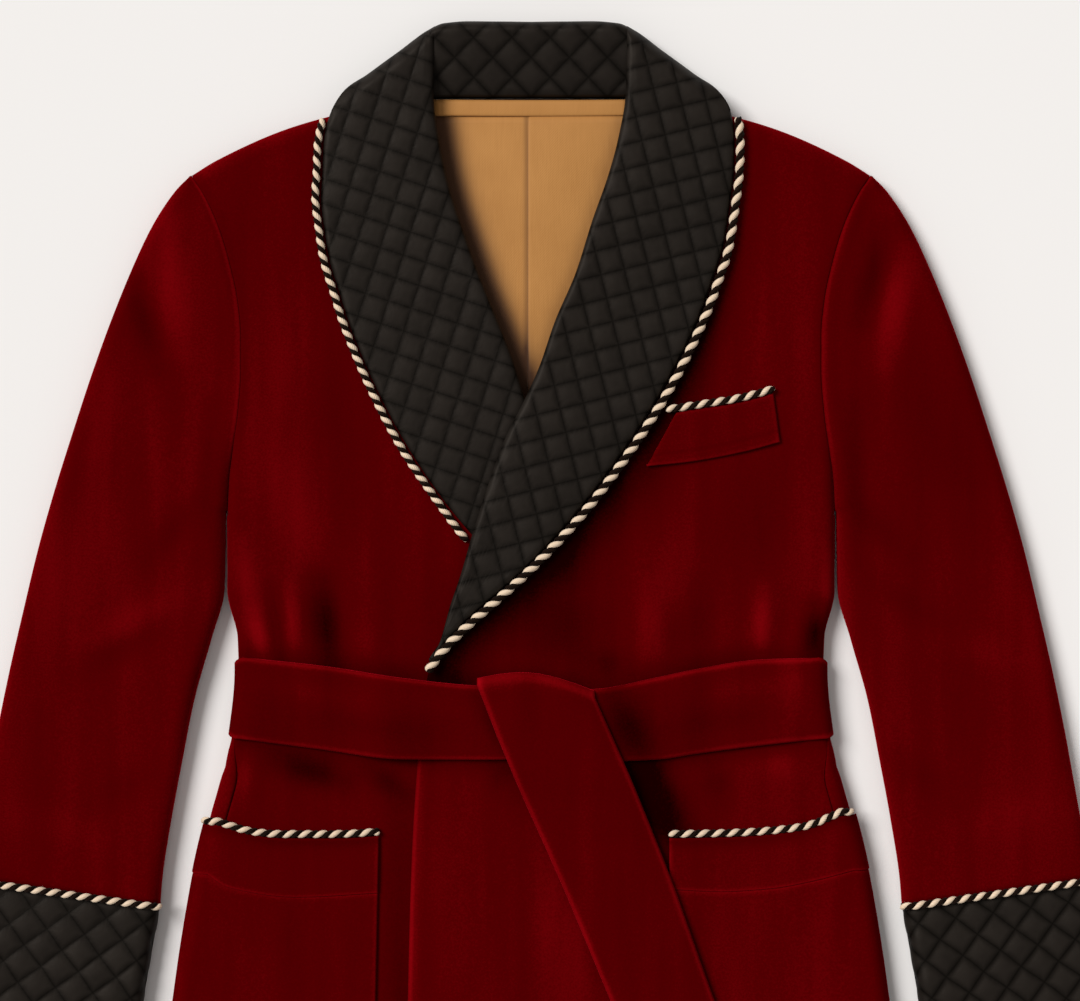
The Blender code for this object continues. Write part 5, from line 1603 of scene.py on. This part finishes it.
        def place(u: float, v: float) -> Spot:
            """Return a point for a part across and a part along, negative over the top fold."""
            part = max(v, 0.0)
            spread = u if over else mix(0.04, 0.96, u)
            x = mix(self.tail_left[0].at(part), self.tail_right[0].at(part), spread)
            down = mix(self.tail_left[1].at(part), self.tail_right[1].at(part), spread)
            down -= 9.5 * sin(pi * clamp(u * 0.9 + 0.1)) * (1.0 - smooth_step(0.0, 0.12, part))
            z = form.top + form.lift(x) + self.stand_off.at(part) - lower
            edge, nap = min(u, 1.0 - u) * self.tail_width, 0.0
            if over:
                folds = 1.3 * sin(u * 9.0 + 0.6) * (1.0 - smooth_step(0.0, 0.2, part))
                folds += 0.7 * sin(u * 4.0 - 2.0 * part + 1.0) * smooth_step(0.1, 0.3, part)
                z += folds + 0.9 * sin(pi * u) ** 0.5 - soften(edge, 4.6, 2.2)
                # Painted highlights along the over end's edges and its top fold, with slight painted shade
                # elsewhere.
                nap = 0.50 * bell(edge - 1.2, 1.8) + 0.4 * bell(part * 340.0, 3.5) - 0.06
            if v < 0.0:
                angle = (1.0 + v) * QUARTER
                down -= fold * cos(angle)
                z -= fold * (1.0 - sin(angle))
            return x, down, z, clamp(nap, -1.0, 1.0)

        columns = [0.0, 0.01, 0.025, 0.045] + steps(0.07, 0.93, 0.045) + [0.955, 0.975, 0.99, 1.0]
        rows = steps(0.0, 0.985 if over else 0.94, 0.012) + ([0.994, 1.0] if over else [])
        if over:
            rows = [-0.95, -0.75, -0.55, -0.35, -0.15] + rows
        name = "belt_tail_over" if over else "belt_tail_under"
        below = ["belt_tail_under.cloth"] if over else ["front_left.cloth"]
        tailor.sheet(name, columns, rows, place, thickness, tailor.velvet, (0, 0, 1), below,
                     held="folded" if over else "laid")

    def build(self, tailor: Tailor) -> None:
        """Make the whole belt."""
        self.back(tailor)
        for side in (Side.RIGHT, Side.LEFT):
            self.strap(side, tailor)
        for over in (False, True):
            self.tail(over, tailor)


@dataclass
class Studio:
    """The plain pale floor, the soft light and the camera straight above."""

    photo_centre: tuple[float, float] = (0.0064, 0.0857)
    view_width: float = 0.768
    lens: float = 85.0
    sensor: float = 36.0
    focus_height: float = 0.012
    sky_strength: float = 0.34
    sun_strength: float = 2.75
    sun_angle: float = 28.0

    def floor(self) -> None:
        """Make the floor."""
        bpy.ops.object.select_all(action="DESELECT")
        bpy.ops.mesh.primitive_plane_add(size=12.0, location=(0.0, 0.0, -0.0002))
        floor = bpy.context.object
        floor.name = "floor"
        book = ShaderBook("floor")
        book.surface(colour(246.0, 242.5, 239.5), 0.9, 0.0)
        floor.data.materials.append(book.material)

    def light(self) -> None:
        """Set the soft sky and the wide light from the upper left."""
        world = bpy.data.worlds.new("studio")
        bpy.context.scene.world = world
        world.use_nodes = True
        sky = world.node_tree.nodes["Background"].inputs
        sky["Color"].default_value = (1.0, 0.99, 0.98, 1.0)
        sky["Strength"].default_value = self.sky_strength
        bpy.ops.object.light_add(type="SUN", location=(-1.0, 1.2, 2.0))
        sun = bpy.context.object
        sun.data.energy = self.sun_strength
        sun.data.angle = radians(self.sun_angle)
        sun.rotation_euler = Vector((-0.80, 0.50, 1.0)).to_track_quat("Z", "Y").to_euler()

    def camera(self) -> None:
        """Set the camera straight above, at the photograph's framing."""
        height = self.lens / self.sensor * self.view_width + self.focus_height
        bpy.ops.object.camera_add(location=(*self.photo_centre, height), rotation=(0.0, 0.0, 0.0))
        camera = bpy.context.object
        camera.data.lens = self.lens
        camera.data.sensor_width = self.sensor
        bpy.context.scene.camera = camera
        bpy.context.scene.view_settings.view_transform = "Standard"

    def build(self) -> None:
        """Set up the studio."""
        self.floor()
        self.light()
        self.camera()


def main() -> None:
    """Build the studio and the jacket."""
    logging.basicConfig(level=logging.INFO, format="%(name)s %(message)s")
    bpy.ops.object.select_all(action="DESELECT")
    Studio().build()
    form = Form()
    tailor = Tailor()
    Torso(form).build(tailor)
    BackLining(form).build(tailor)
    for side in Side:
        Sleeve(form, side).build(tailor)
        Cuff(form, side).build(tailor)
    Collar(form).build(tailor)
    Pockets(form).build(tailor)
    Belt(form).build(tailor)
    LOG.info("%d sheets of cloth", tailor.count)


if __name__ == "__main__":
    main()
